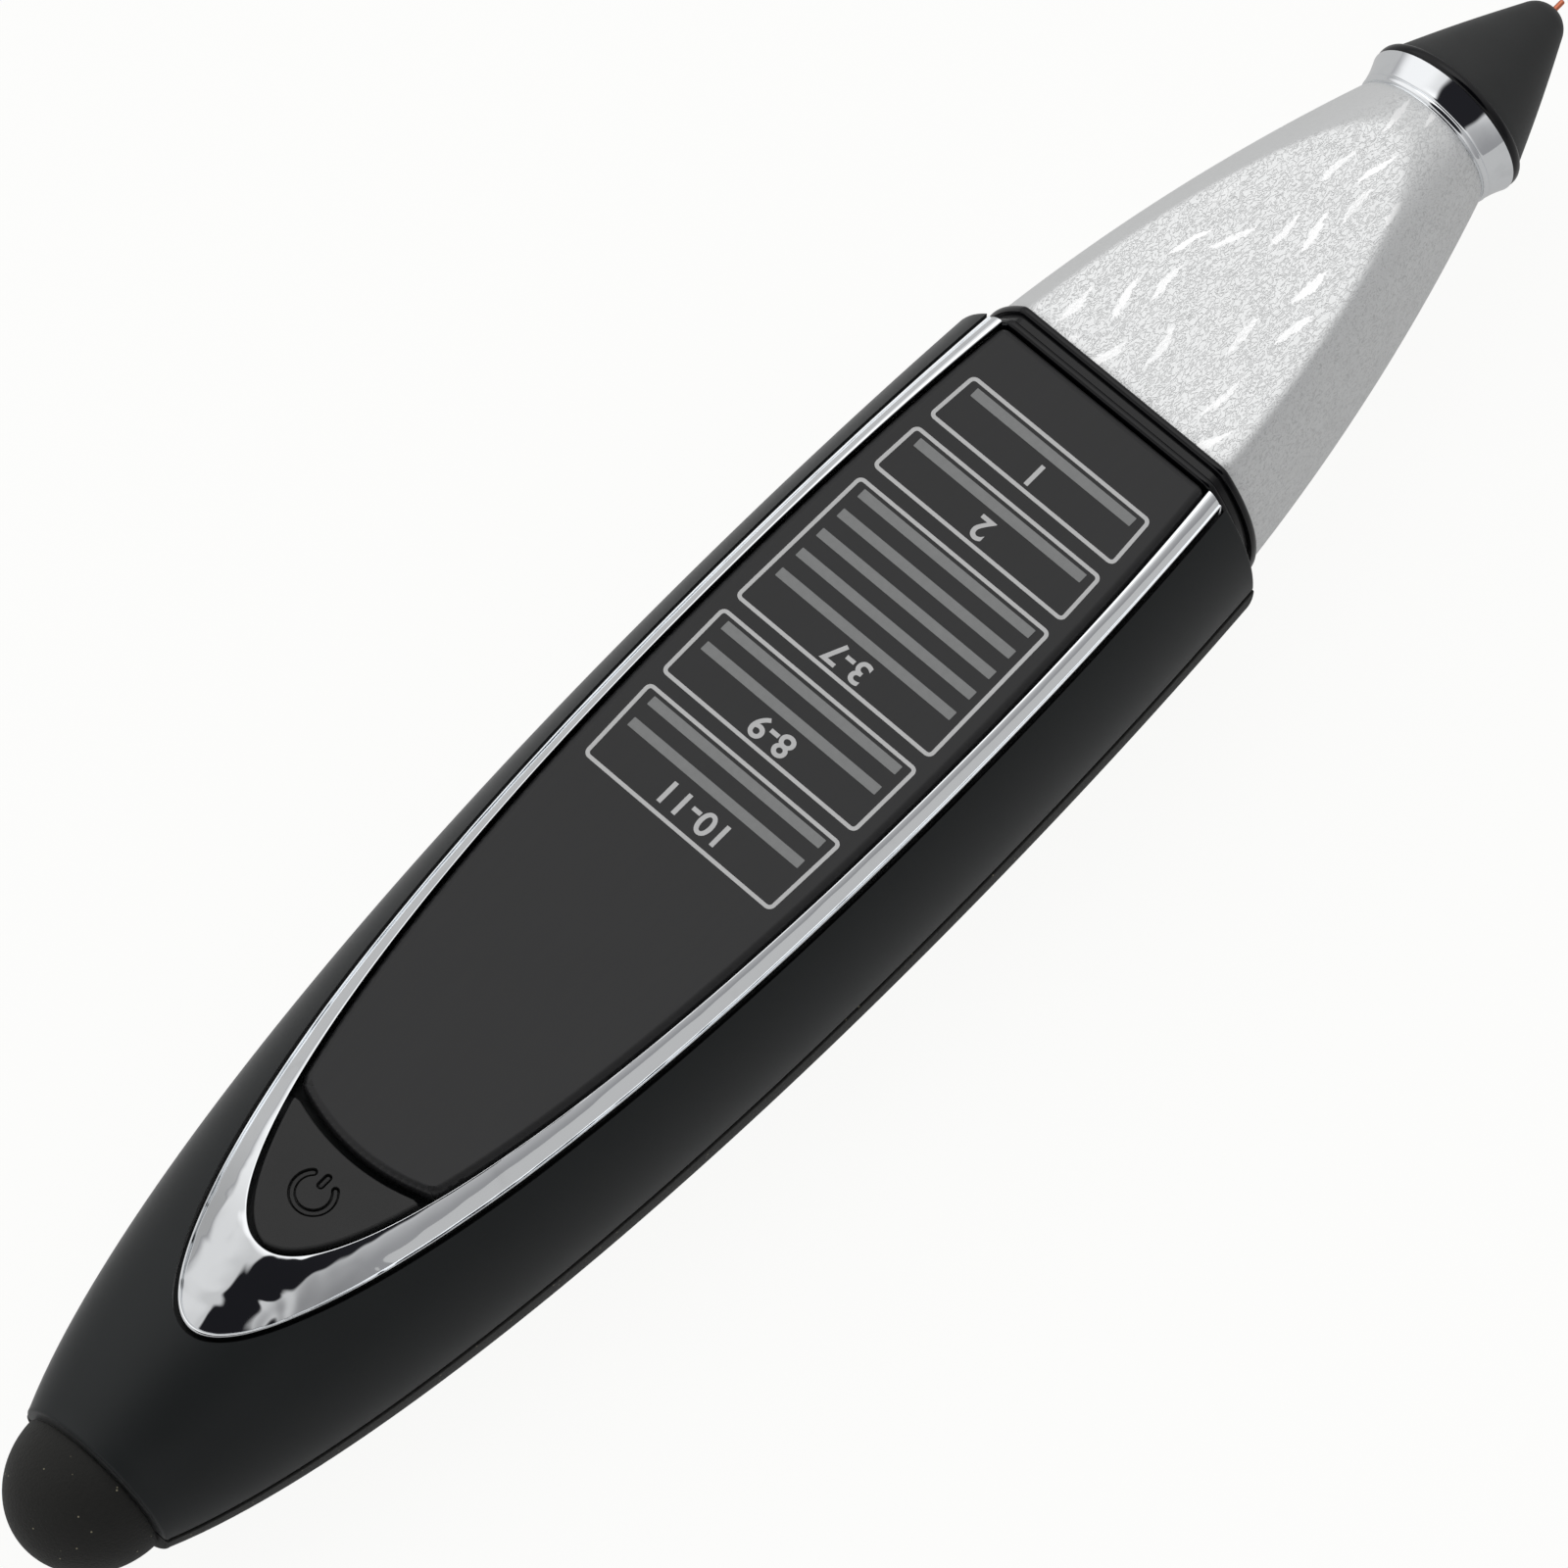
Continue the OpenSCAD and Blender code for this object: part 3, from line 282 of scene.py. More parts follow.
def angles(start, stop, step):
    """Angles in radians, from whole degrees."""
    return [math.radians(degrees) for degrees in range(start, stop, step)]


def nose_curve(share):
    """Radius of the nose from its base, 0, to its neck, 1, on a long arc."""
    z = sizes()
    span = LOW["collar_ring"].x - HIGH["nose_gasket"].x
    fall = z.nose_radius - z.neck_radius
    chord = math.hypot(span, fall)
    sag = math.sqrt(z.nose_arc ** 2 - chord ** 2 / 4)
    across = Vector((fall, span)) / chord
    centre = Vector((span / 2, z.nose_radius - fall / 2)) - across * sag
    x = span * share
    return centre.y + math.sqrt(z.nose_arc ** 2 - (x - centre.x) ** 2)


# Modelling steps


def clear_selection():
    if bpy.context.object is not None and bpy.context.object.mode != "OBJECT":
        bpy.ops.object.mode_set(mode="OBJECT")
    bpy.ops.object.select_all(action="DESELECT")


def focus(piece):
    clear_selection()
    piece.select_set(True)
    bpy.context.view_layer.objects.active = piece


def named(name):
    piece = bpy.context.object
    piece.name = piece.data.name = name
    return piece


def drawn(name, points):
    """A line drawn by extruding one vertex from point to point. It stays in edit mode, all selected."""
    clear_selection()
    bpy.ops.mesh.primitive_plane_add(size=MM, location=points[0])
    piece = named(name)
    bpy.ops.object.transform_apply(location=True, rotation=True, scale=True)
    bpy.ops.object.mode_set(mode="EDIT")
    bpy.ops.mesh.select_all(action="SELECT")
    bpy.ops.mesh.merge(type="CENTER")
    for start, end in zip(points, points[1:]):
        step = [b - a for a, b in zip(start, end)]
        bpy.ops.mesh.extrude_vertices_move(TRANSFORM_OT_translate={"value": step})
    bpy.ops.mesh.select_all(action="SELECT")
    return piece


def tidy(piece, merge=0.002 * MM):
    """Merges doubles, turns the faces outwards and leaves edit mode."""
    if piece.mode != "EDIT":
        focus(piece)
        bpy.ops.object.mode_set(mode="EDIT")
    bpy.ops.mesh.select_all(action="SELECT")
    bpy.ops.mesh.remove_doubles(threshold=merge)
    bpy.ops.mesh.normals_make_consistent(inside=False)
    bpy.ops.object.mode_set(mode="OBJECT")
    return piece


def turned(name, profile, sides, axis="X"):
    """A profile of (place, radius) points spun about an axis through the origin."""
    if axis == "X":
        piece = drawn(name, [(place, 0.0, radius) for place, radius in profile])
    else:
        piece = drawn(name, [(radius, 0.0, place) for place, radius in profile])
    spin_axis = (1, 0, 0) if axis == "X" else (0, 0, 1)
    bpy.ops.mesh.spin(steps=sides, angle=2 * math.pi, center=(0, 0, 0), axis=spin_axis)
    return tidy(piece)


def laid(name, rings):
    """A grid whose rows are laid on closed rings of points, closed at both ends."""
    clear_selection()
    rows, columns = len(rings), len(rings[0]) + 1
    bpy.ops.mesh.primitive_grid_add(x_subdivisions=columns - 1, y_subdivisions=rows - 1, size=1)
    piece = named(name)
    for vertex in piece.data.vertices:
        row = round((vertex.co.y + 0.5) * (rows - 1))
        column = round((vertex.co.x + 0.5) * (columns - 1))
        vertex.co = rings[row][column % (columns - 1)]
    bpy.ops.object.mode_set(mode="EDIT")
    bpy.ops.mesh.select_all(action="SELECT")
    bpy.ops.mesh.remove_doubles(threshold=0.002 * MM)
    bpy.ops.mesh.select_all(action="SELECT")
    bpy.ops.mesh.fill_holes(sides=0)
    return tidy(piece)


def slab(name, outline, low, high):
    """A plate between two heights from a closed outline of (x, y) points."""
    piece = drawn(name, [(x, y, low) for x, y in outline])
    bpy.ops.mesh.edge_face_add()
    bpy.ops.mesh.extrude_region_move(TRANSFORM_OT_translate={"value": (0, 0, high - low)})
    return tidy(piece)


def placed(piece, location, rotation=(0, 0, 0)):
    focus(piece)
    piece.location = location
    piece.rotation_euler = rotation
    bpy.ops.object.transform_apply(location=True, rotation=True, scale=True)
    return piece


def cut(piece, point, normal):
    """Takes off what lies in front of a plane."""
    focus(piece)
    bpy.ops.object.mode_set(mode="EDIT")
    bpy.ops.mesh.select_all(action="SELECT")
    bpy.ops.mesh.bisect(plane_co=point, plane_no=normal, use_fill=True, clear_outer=True,
                        threshold=0.001 * MM)
    bpy.ops.object.mode_set(mode="OBJECT")
    return piece


def modified(piece, kind, **settings):
    focus(piece)
    bpy.ops.object.modifier_add(type=kind)
    modifier = piece.modifiers[-1]
    for key, value in settings.items():
        setattr(modifier, key, value)
    bpy.ops.object.modifier_apply(modifier=modifier.name)
    return piece


def rounded(piece, width, segments=3, angle=40):
    return modified(piece, "BEVEL", width=width, segments=segments, limit_method="ANGLE",
                    angle_limit=math.radians(angle), use_clamp_overlap=False)


def carved(piece, cutter):
    """Takes a cutter out of a piece."""
    modified(piece, "BOOLEAN", operation="DIFFERENCE", object=cutter, solver="MANIFOLD")
    bpy.data.objects.remove(cutter)
    return piece


def joined(name, pieces):
    clear_selection()
    for piece in pieces:
        piece.select_set(True)
    bpy.context.view_layer.objects.active = pieces[0]
    if len(pieces) > 1:
        bpy.ops.object.join()
    return named(name)


def dressed(piece, material, body, slot, *nodes, angle=35, weighted=False):
    """Shades a finished piece, gives it its finish and puts it on its body."""
    focus(piece)
    bpy.ops.object.shade_smooth_by_angle(angle=math.radians(angle))
    if weighted:
        modified(piece, "WEIGHTED_NORMAL", keep_sharp=True, weight=80)
    piece.data.materials.clear()
    piece.data.materials.append(material)
    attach(piece, body)
    if nodes:
        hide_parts(*nodes)
    return piece


# Finishes


class Wire:
    """A node's output, on which arithmetic adds Math nodes."""

    def __init__(self, sheet, socket):
        self.sheet = sheet
        self.socket = socket

    def maths(self, operation, first, second=0.0):
        return self.sheet.node("ShaderNodeMath", {"operation": operation}, {0: first, 1: second})

    def __add__(self, other):
        return self.maths("ADD", self, other)

    __radd__ = __add__

    def __sub__(self, other):
        return self.maths("SUBTRACT", self, other)

    def __rsub__(self, other):
        return self.maths("SUBTRACT", other, self)

    def __mul__(self, other):
        return self.maths("MULTIPLY", self, other)

    __rmul__ = __mul__

    def __truediv__(self, other):
        return self.maths("DIVIDE", self, other)

    def __pow__(self, other):
        return self.maths("POWER", self, other)

    def __abs__(self):
        return self.maths("ABSOLUTE", self)

    def most(self, other):
        return self.maths("MAXIMUM", self, other)

    def least(self, other):
        return self.maths("MINIMUM", self, other)

    def floored(self):
        return self.maths("FLOOR", self)

    def wrapped(self):
        return self.maths("FRACT", self)

    def step(self, low, high):
        """0 below low, 1 above high, smooth between; it falls where low is the greater."""
        if low > high:
            return 1 - self.step(high, low)
        return self.sheet.node("ShaderNodeMapRange", {"interpolation_type": "SMOOTHSTEP"},
                               {"Value": self, "From Min": low, "From Max": high})


class Sheet:
    """The node tree of one finish."""

    def __init__(self, name, tree=None):
        if tree is None:
            self.material = bpy.data.materials.new(name)
            self.material.use_nodes = True
            tree = self.material.node_tree
        self.tree = tree
        tree.nodes.clear()

    def node(self, kind, settings=None, inputs=None, output=0):
        node = self.tree.nodes.new(kind)
        for key, value in (settings or {}).items():
            setattr(node, key, value)
        for key, value in (inputs or {}).items():
            if isinstance(value, Wire):
                self.tree.links.new(value.socket, node.inputs[key])
            else:
                node.inputs[key].default_value = value
        return Wire(self, node.outputs[output])

    def place(self, scale=(1, 1, 1), shift=(0, 0, 0)):
        """Object coordinates, stretched and shifted."""
        here = self.node("ShaderNodeTexCoord", output="Object")
        return self.node("ShaderNodeMapping", None, {"Vector": here, "Location": shift, "Scale": scale})

    def axes(self, vector=None):
        """X, Y and Z of a vector, or of the object's own coordinates."""
        vector = vector or self.node("ShaderNodeTexCoord", output="Object")
        split = self.node("ShaderNodeSeparateXYZ", None, {"Vector": vector})
        return [Wire(self, output) for output in split.socket.node.outputs]

    def noise(self, feature, where=None, detail=2.0, rough=0.5, twist=0.0):
        """Noise of a feature size in metres, about 0.5."""
        return self.node("ShaderNodeTexNoise", None,
                         {"Vector": where or self.place(), "Scale": 1 / feature,
                          "Detail": detail, "Roughness": rough, "Distortion": twist})

    def cells(self, feature, where=None, output="Distance", kind="F1"):
        return self.node("ShaderNodeTexVoronoi", {"feature": kind},
                         {"Vector": where or self.place(), "Scale": 1 / feature}, output)

    def scatter(self, where):
        """A number from 0 to 1 that is constant at one place and unlike its neighbours."""
        return self.node("ShaderNodeTexWhiteNoise", {"noise_dimensions": "3D"}, {"Vector": where})

    def mixed(self, share, first, second):
        return self.node("ShaderNodeMix", {"data_type": "RGBA"}, {0: share, 6: first, 7: second}, 2)

    def bump(self, height, depth, strength):
        return self.node("ShaderNodeBump", None, {"Height": height, "Distance": depth, "Strength": strength})

    def surface(self, **sockets):
        """The shader with its sockets, named with _ for a space, on the output."""
        inputs = {key.replace("_", " "): value for key, value in sockets.items()}
        shader = self.node("ShaderNodeBsdfPrincipled", None, inputs)
        self.node_out(shader)
        return self.material

    def node_out(self, shader, kind="ShaderNodeOutputMaterial"):
        out = self.tree.nodes.new(kind)
        self.tree.links.new(shader.socket, out.inputs["Surface"])


def shade(colour, level=1.0):
    return (colour[0] * level, colour[1] * level, colour[2] * level, 1.0)


def specks(sheet, cell, size, share):
    """Small round specks: a share of the cells holds one."""
    where = sheet.place()
    distance = sheet.cells(cell, where)
    pick = sheet.node("ShaderNodeSeparateColor", None, {"Color": sheet.cells(cell, where, "Color")})
    return distance.step(size / cell, 0.6 * size / cell) * pick.step(1 - share, 1 - 0.9 * share)


def soft_touch():
    """Satin soft-touch paint with a faint haze and a few specks of dust."""
    sheet = Sheet("soft_touch_paint")
    colour = finishes().soft_black
    haze = sheet.noise(9 * MM, detail=3)
    grain = sheet.noise(0.07 * MM, detail=1)
    dust = specks(sheet, 5 * MM, 0.07 * MM, 0.12)
    base = sheet.mixed(haze, shade(colour, 0.82), shade(colour, 1.2))
    base = sheet.mixed(dust, base, (0.16, 0.16, 0.15, 1))
    return sheet.surface(Base_Color=base, Roughness=0.43 + haze * 0.06 + grain * 0.06,
                         Specular_IOR_Level=0.3, Sheen_Weight=0.35, Sheen_Roughness=0.25,
                         Normal=sheet.bump(grain, 0.012 * MM, 0.35))


def grained_rubber():
    """Matt rubber with a moulded grain and light specks in it."""
    sheet = Sheet("grained_rubber")
    colour = finishes().rubber
    grain = sheet.noise(0.22 * MM, detail=3, rough=0.6)
    haze = sheet.noise(6 * MM)
    light = specks(sheet, 0.8 * MM, 0.085 * MM, 0.5)
    base = sheet.mixed(grain * 0.7 + haze * 0.3, shade(colour, 0.45), shade(colour, 1.6))
    base = sheet.mixed(light, base, (0.3, 0.27, 0.19, 1))
    return sheet.surface(Base_Color=base, Roughness=0.62 + grain * 0.2, Specular_IOR_Level=0.25,
                         Sheen_Weight=0.06, Sheen_Roughness=0.5, Normal=sheet.bump(grain, 0.09 * MM, 0.8))


def plated_chrome():
    """Bright plating on a moulding, with the slow waves and fine hairlines of polishing, and painted shade
    towards the spoon.
    """
    sheet = Sheet("plated_chrome")
    spoon = (sheet.axes()[0] * 1000).step(-52, -60)
    waves = sheet.noise(4 * MM, detail=1) + sheet.noise(3.2 * MM, detail=0, twist=1.2) * spoon * 1.8
    hair = sheet.noise(0.3 * MM, sheet.place((0.12, 1, 1)), detail=3)
    smear = sheet.noise(3 * MM, detail=3).step(0.55, 0.75)
    base = sheet.mixed(smear, shade(finishes().chrome), shade(finishes().chrome, 0.93))
    # Painted shade: the plating is painted darker towards the spoon at the tail, for the darker reflection
    # there.
    base = sheet.mixed(spoon * 0.8, base, shade(finishes().chrome, 0.66))
    return sheet.surface(Base_Color=base, Metallic=1.0,
                         Roughness=0.03 + smear * 0.05 + hair * 0.02,
                         Normal=sheet.bump(waves, 0.3 * MM, 0.4))


def smoked_panel():
    """Smoked panel with a fine satin coat and faint wiping marks."""
    sheet = Sheet("smoked_panel")
    colour = finishes().panel
    haze = sheet.noise(14 * MM, detail=2)
    wipe = sheet.noise(0.5 * MM, sheet.place((0.08, 1, 1)), detail=3)
    grain = sheet.noise(0.06 * MM, detail=1)
    dust = specks(sheet, 7 * MM, 0.06 * MM, 0.2)
    base = sheet.mixed(haze, shade(colour, 0.9), shade(colour, 1.1))
    return sheet.surface(Base_Color=sheet.mixed(dust, base, (0.2, 0.2, 0.19, 1)),
                         Roughness=0.34 + wipe * 0.05 + grain * 0.05, Specular_IOR_Level=0.32,
                         Normal=sheet.bump(grain, 0.006 * MM, 0.25))


def moulded_button():
    """Matt moulded plastic."""
    sheet = Sheet("moulded_button")
    colour = finishes().button
    grain = sheet.noise(0.09 * MM, detail=2)
    haze = sheet.noise(5 * MM)
    return sheet.surface(Base_Color=sheet.mixed(haze, shade(colour, 0.88), shade(colour, 1.1)),
                         Roughness=0.5 + grain * 0.12, Specular_IOR_Level=0.25,
                         Normal=sheet.bump(grain, 0.015 * MM, 0.5))


def printed(name, colour, mottle):
    """Screen-printed ink, a little uneven."""
    sheet = Sheet(name)
    patch = sheet.noise(0.5 * MM, detail=3)
    weave = sheet.noise(0.06 * MM, detail=1)
    return sheet.surface(Base_Color=sheet.mixed(patch, shade(colour, 1 - mottle), shade(colour, 1 + mottle)),
                         Roughness=0.45 + weave * 0.12, Specular_IOR_Level=0.3,
                         Normal=sheet.bump(weave, 0.004 * MM, 0.4))


def glossy_seal():
    """Glossy black moulding with soft flow marks."""
    sheet = Sheet("glossy_seal")
    flow = sheet.noise(2.5 * MM, detail=2)
    colour = finishes().seal
    return sheet.surface(Base_Color=sheet.mixed(flow, shade(colour, 0.7), shade(colour, 1.4)),
                         Roughness=0.12 + flow * 0.1, Specular_IOR_Level=0.3,
                         Normal=sheet.bump(flow, 0.05 * MM, 0.2))


def grained_silver():
    """Silver leather-like grain: fine wrinkles along the nose and long bright flecks on its upper flat, the
    flecks painted white as glints and the side towards +Y painted lighter as painted light.
    """
    sheet = Sheet("grained_silver")
    colour = finishes().silver
    x, y = sheet.axes()[:2]
    facing = sheet.axes(sheet.node("ShaderNodeNewGeometry", output="Normal"))
    top = facing[2].step(0.82, 0.93)
    side = facing[1].step(-0.2, 0.15) * (1 - top)
    worms = sheet.noise(0.3 * MM, sheet.place((0.5, 1, 1)), detail=1, rough=0.5, twist=1.0)
    wrinkle = (abs(worms - 0.5) * 18).least(1.0)
    fine = sheet.noise(0.14 * MM, sheet.place((0.5, 1, 1)), detail=2)
    patch = sheet.noise(4 * MM, detail=2)

    # Flecks, painted white as glints on the upward flat only: one to a cell, cells staggered from row to row,
    # each shifted and jagged in its own way.
    row_pitch, dash_pitch = 2.2 * MM, 6.9 * MM
    level = y / row_pitch + (sheet.noise(11 * MM, detail=0) - 0.5) * 3
    row = level.floored()
    shifted = x / dash_pitch + row * 0.37
    cell = shifted.floored()
    key = sheet.node("ShaderNodeCombineXYZ", None, {"X": cell, "Y": row, "Z": 3.0})
    chance = sheet.scatter(key)
    other = sheet.scatter(sheet.node("ShaderNodeCombineXYZ", None, {"X": cell, "Y": row, "Z": 8.0}))
    jag = sheet.noise(0.55 * MM, sheet.place((0.7, 1, 1)), detail=3, rough=0.7) - 0.5
    across = level.wrapped() - 0.5 + (other - 0.5) * 0.45 + jag * 0.4
    along = shifted.wrapped() - 0.5 + (chance - 0.5) * 0.3
    taper = (1 - (abs(along) / 0.33) ** 2.0).most(0.0)
    shape = (taper * 0.17 - abs(across)).step(0.0, 0.05)
    fleck_and_painted_glint = shape * chance.step(0.3, 0.34) * top * (other * 0.4 + 0.5)

    # Painted light: the faces towards +Y are painted lighter and more even, and their relief is calmed too.
    calm_and_painted_light = side * 0.85
    rough_share = 1 - calm_and_painted_light
    base = sheet.mixed((wrinkle * 0.7 + fine * 0.3) * rough_share + calm_and_painted_light * 0.95,
                       shade(colour, 0.76), shade(colour, 1.08))
    # Painted highlight: the flecks are painted white as glints where the flat faces up.
    base = sheet.mixed(fleck_and_painted_glint, base, (1, 1, 1, 1))
    relief = (wrinkle * 0.8 + fine * 0.2) * rough_share * (1 - fleck_and_painted_glint) + fleck_and_painted_glint
    return sheet.surface(Base_Color=base, Metallic=0.72, Roughness=0.36 + patch * 0.06,
                         Normal=sheet.bump(relief, 0.035 * MM, 0.5))


def moulded_cone():
    """Matt dark moulding, a little paler where it is rubbed."""
    sheet = Sheet("moulded_cone")
    colour = finishes().cone
    grain = sheet.noise(0.1 * MM, detail=2)
    rub = sheet.noise(3 * MM, detail=3)
    return sheet.surface(Base_Color=sheet.mixed(rub, shade(colour, 0.85), shade(colour, 1.15)),
                         Roughness=0.55 + grain * 0.1, Specular_IOR_Level=0.3, Sheen_Weight=0.1,
                         Sheen_Roughness=0.35, Normal=sheet.bump(grain, 0.012 * MM, 0.4))


def bright_metal(name, colour, roughness, grain):
    """Drawn or plated metal with fine drawing lines along the pen."""
    sheet = Sheet(name)
    lines = sheet.noise(grain, sheet.place((0.15, 1, 1)), detail=3)
    tarnish = sheet.noise(2 * MM, detail=2)
    return sheet.surface(Base_Color=sheet.mixed(tarnish, shade(colour, 0.82), shade(colour, 1.05)),
                         Metallic=1.0, Roughness=roughness + lines * 0.12,
                         Normal=sheet.bump(lines, 0.004 * MM, 0.5))


def plain_plastic(name, colour, roughness, grain):
    """Moulded plastic or lacquer with a fine grain and a slightly uneven tone."""
    sheet = Sheet(name)
    fine = sheet.noise(grain, detail=2)
    tone = sheet.noise(4 * MM, detail=2)
    return sheet.surface(Base_Color=sheet.mixed(tone, shade(colour, 0.85), shade(colour, 1.12)),
                         Roughness=roughness + fine * 0.12, Specular_IOR_Level=0.35,
                         Normal=sheet.bump(fine, 0.01 * MM, 0.4))


def circuit_board():
    """Green lacquer over copper tracks, with tinned pads in rows."""
    sheet = Sheet("circuit_board")
    track = sheet.cells(1.3 * MM, sheet.place((0.4, 1, 0)), "Distance", "DISTANCE_TO_EDGE").step(0.16, 0.1)
    pad = specks(sheet, 2.6 * MM, 0.35 * MM, 0.45)
    tone = sheet.noise(5 * MM, detail=2)
    base = sheet.mixed(track * 0.6 + tone * 0.2, (0.008, 0.06, 0.022, 1), (0.03, 0.16, 0.06, 1))
    base = sheet.mixed(pad, base, (0.6, 0.6, 0.57, 1))
    return sheet.surface(Base_Color=base, Metallic=pad * 0.8, Roughness=0.32 + pad * 0.1,
                         Normal=sheet.bump(track + pad, 0.02 * MM, 0.5))


def cell_wrapper():
    """Printed shrink sleeve of a cell, dark with a pale band near one end."""
    sheet = Sheet("cell_wrapper")
    band = (abs(sheet.axes()[0] + 30.5 * MM) / MM).step(4.2, 4.0)
    tone = sheet.noise(6 * MM, detail=2)
    base = sheet.mixed(tone, (0.02, 0.035, 0.055, 1), (0.03, 0.05, 0.075, 1))
    base = sheet.mixed(band, base, (0.42, 0.4, 0.33, 1))
    fold = sheet.noise(0.6 * MM, sheet.place((0.2, 1, 1)), detail=2)
    return sheet.surface(Base_Color=base, Roughness=0.25 + fold * 0.12,
                         Normal=sheet.bump(fold, 0.01 * MM, 0.5))


# Pieces


def skin_profile(start, end, inset):
    """The body's skin between two places along its axis, drawn in by an inset, as (place, radius)."""
    steps = 90
    places = [start + (end - start) * i / steps for i in range(steps + 1)]
    return [(s, body_radius(s) - inset) for s in places] + [(end, 0.0)]


class TESTER_OT_casings(bpy.types.Operator):
    """Both casings: a turned body parted along its length, with a flat deck and a flat foot"""

    bl_idname = "tester.casings"
    bl_label = "Casings"

    def hollow(self, inset=0.0):
        """The cutter of the room in both casings and of the tail's hole, drawn in by an inset."""
        z = sizes()
        wall, outside = z.wall - z.tail_seam, -z.tail_seam - 1 * MM
        profile = [(outside, 0.0), (outside, z.bore_radius), (wall, z.bore_radius)]
        profile += skin_profile(wall, HIGH["upper_casing"].x - z.widest - z.wall, z.wall + inset)
        piece = placed(turned("hollow", profile, 96), (z.widest, 0, z.axis_height), (0, -z.tilt, 0))
        cut(piece, (0, 0, LOW["trim_bezel"].z - z.deck), (0, 0, 1))
        return tidy(cut(piece, (0, 0, z.wall + inset), (0, 0, -1)))

    def half(self, name, side, posts=()):
        """One casing: the turned body parted, cut level, rounded and hollowed round its posts."""
        z = sizes()
        seam, lip = -z.tail_seam, z.edge
        inset = 0.0 if side > 0 else -z.lower_step
        rim = body_radius(seam + lip) - inset
        profile = [(seam, 0.0)]
        for a in angles(0, 90, 15):
            profile.append((seam + lip * (1 - math.cos(a)), rim - lip + lip * math.sin(a)))
        profile += skin_profile(seam + lip, HIGH["upper_casing"].x - z.widest + 1 * MM, inset)
        piece = turned(name, profile, z.sides)
        cut(piece, (0, 0, side * z.parting_gap), (0, 0, -side))
        placed(piece, (z.widest, 0, z.axis_height), (0, -z.tilt, 0))
        front = HIGH["upper_casing"].x
        if side > 0:
            cut(piece, (front, 0, rim_z(front)), (-rim_slope(), 0, 1))
        cut(piece, (front, 0, 0), (1, 0, 0))
        tidy(piece, 0.03 * MM)
        rounded(piece, z.edge / 3, 3, 45)
        if side < 0:
            tidy(cut(piece, (0, 0, 0), (0, 0, -1)))
        room = self.hollow()
        for x, y in posts:
            carved(room, self.hole("post", x, y, z.post_radius, -5 * MM, z.axis_height - z.post_drop))
        return carved(piece, room)

    def bay_end(self, rear):
        """An end wall of the battery bay: a slice of the lower room, just clear of the door."""
        z = sizes()
        piece = self.hollow(z.parting_gap)
        cut(piece, (rear, 0, 0), (-1, 0, 0))
        cut(piece, (rear + z.bay_wall, 0, 0), (1, 0, 0))
        parting = (-math.sin(z.tilt), 0, math.cos(z.tilt))
        return tidy(cut(piece, (z.widest, 0, z.axis_height - 2 * z.parting_gap), parting))

    def pocket(self, inset, low):
        """The cutter of the trim's seat, open to the front, drawn in by an inset."""
        steps = 64
        side = [trim_foot(k / steps, inset) for k in range(steps, 0, -1)]
        side.insert(0, (side[0][0] + 2 * MM, side[0][1]))
        outline = side + [trim_foot(0, inset)] + [(x, -y) for x, y in reversed(side)]
        return slab("trim_pocket", outline, low, LOW["trim_bezel"].z + 6 * MM)

    def hole(self, name, x, y, radius, low, high):
        clear_selection()
        bpy.ops.mesh.primitive_cylinder_add(vertices=40, radius=radius, depth=high - low,
                                            location=(x, y, (low + high) / 2))
        bpy.ops.object.transform_apply(location=True, rotation=True, scale=True)
        return named(name)

    def execute(self, context):
        z = sizes()
        deck = LOW["trim_bezel"].z
        upper = self.half("upper_casing_skin", 1)
        carved(upper, self.pocket(-z.trim_relief, deck))
        groove = self.pocket(-z.trim_relief, deck - z.relief_depth)
        core = self.pocket(z.trim_relief, deck - 2 * z.relief_depth)
        carved(upper, carved(groove, placed(core, (1 * MM, 0, 0))))
        stem = (LOW["switch_stem"] + HIGH["switch_stem"]) / 2
        carved(upper, self.hole("plunger_hole", stem.x, stem.y, z.plunger_hole, deck - 4 * MM, deck + 1 * MM))
        dressed(upper, soft_touch(), "body", "casing_soft", "upper_casing", weighted=True)
        screw_low, screw_high = LOW["casing_screws"], HIGH["casing_screws"]
        places = []
        for side in (-1, 1):
            places.append((screw_high.x - z.screw_head, side * z.front_post))
            places.append((screw_low.x + z.screw_head, side * z.rear_post))
        lower = self.half("lower_casing_skin", -1, places)
        clear_selection()
        low, high = LOW["battery_door"], HIGH["battery_door"]
        bpy.ops.mesh.primitive_cube_add(size=1, location=(low + high) / 2)
        opening = named("door_opening")
        opening.scale = (high.x - low.x + 2 * z.door_gap, high.y - low.y + 2 * z.door_gap, 12 * MM)
        bpy.ops.object.transform_apply(location=True, rotation=True, scale=True)
        carved(lower, opening)
        for x, y in places:
            carved(lower, self.hole("screw_recess", x, y, z.screw_recess, -4 * MM, z.screw_seat))
            carved(lower, self.hole("screw_hole", x, y, z.screw_hole, 1 * MM, z.axis_height))
        ends = (LOW["contact_plates"].x - z.bay_wall, HIGH["contact_plates"].x)
        lower = joined("lower_casing_skin", [lower] + [self.bay_end(rear) for rear in ends])
        dressed(lower, grained_rubber(), "body", "casing_rubber", "lower_casing", weighted=True)
        return {"FINISHED"}


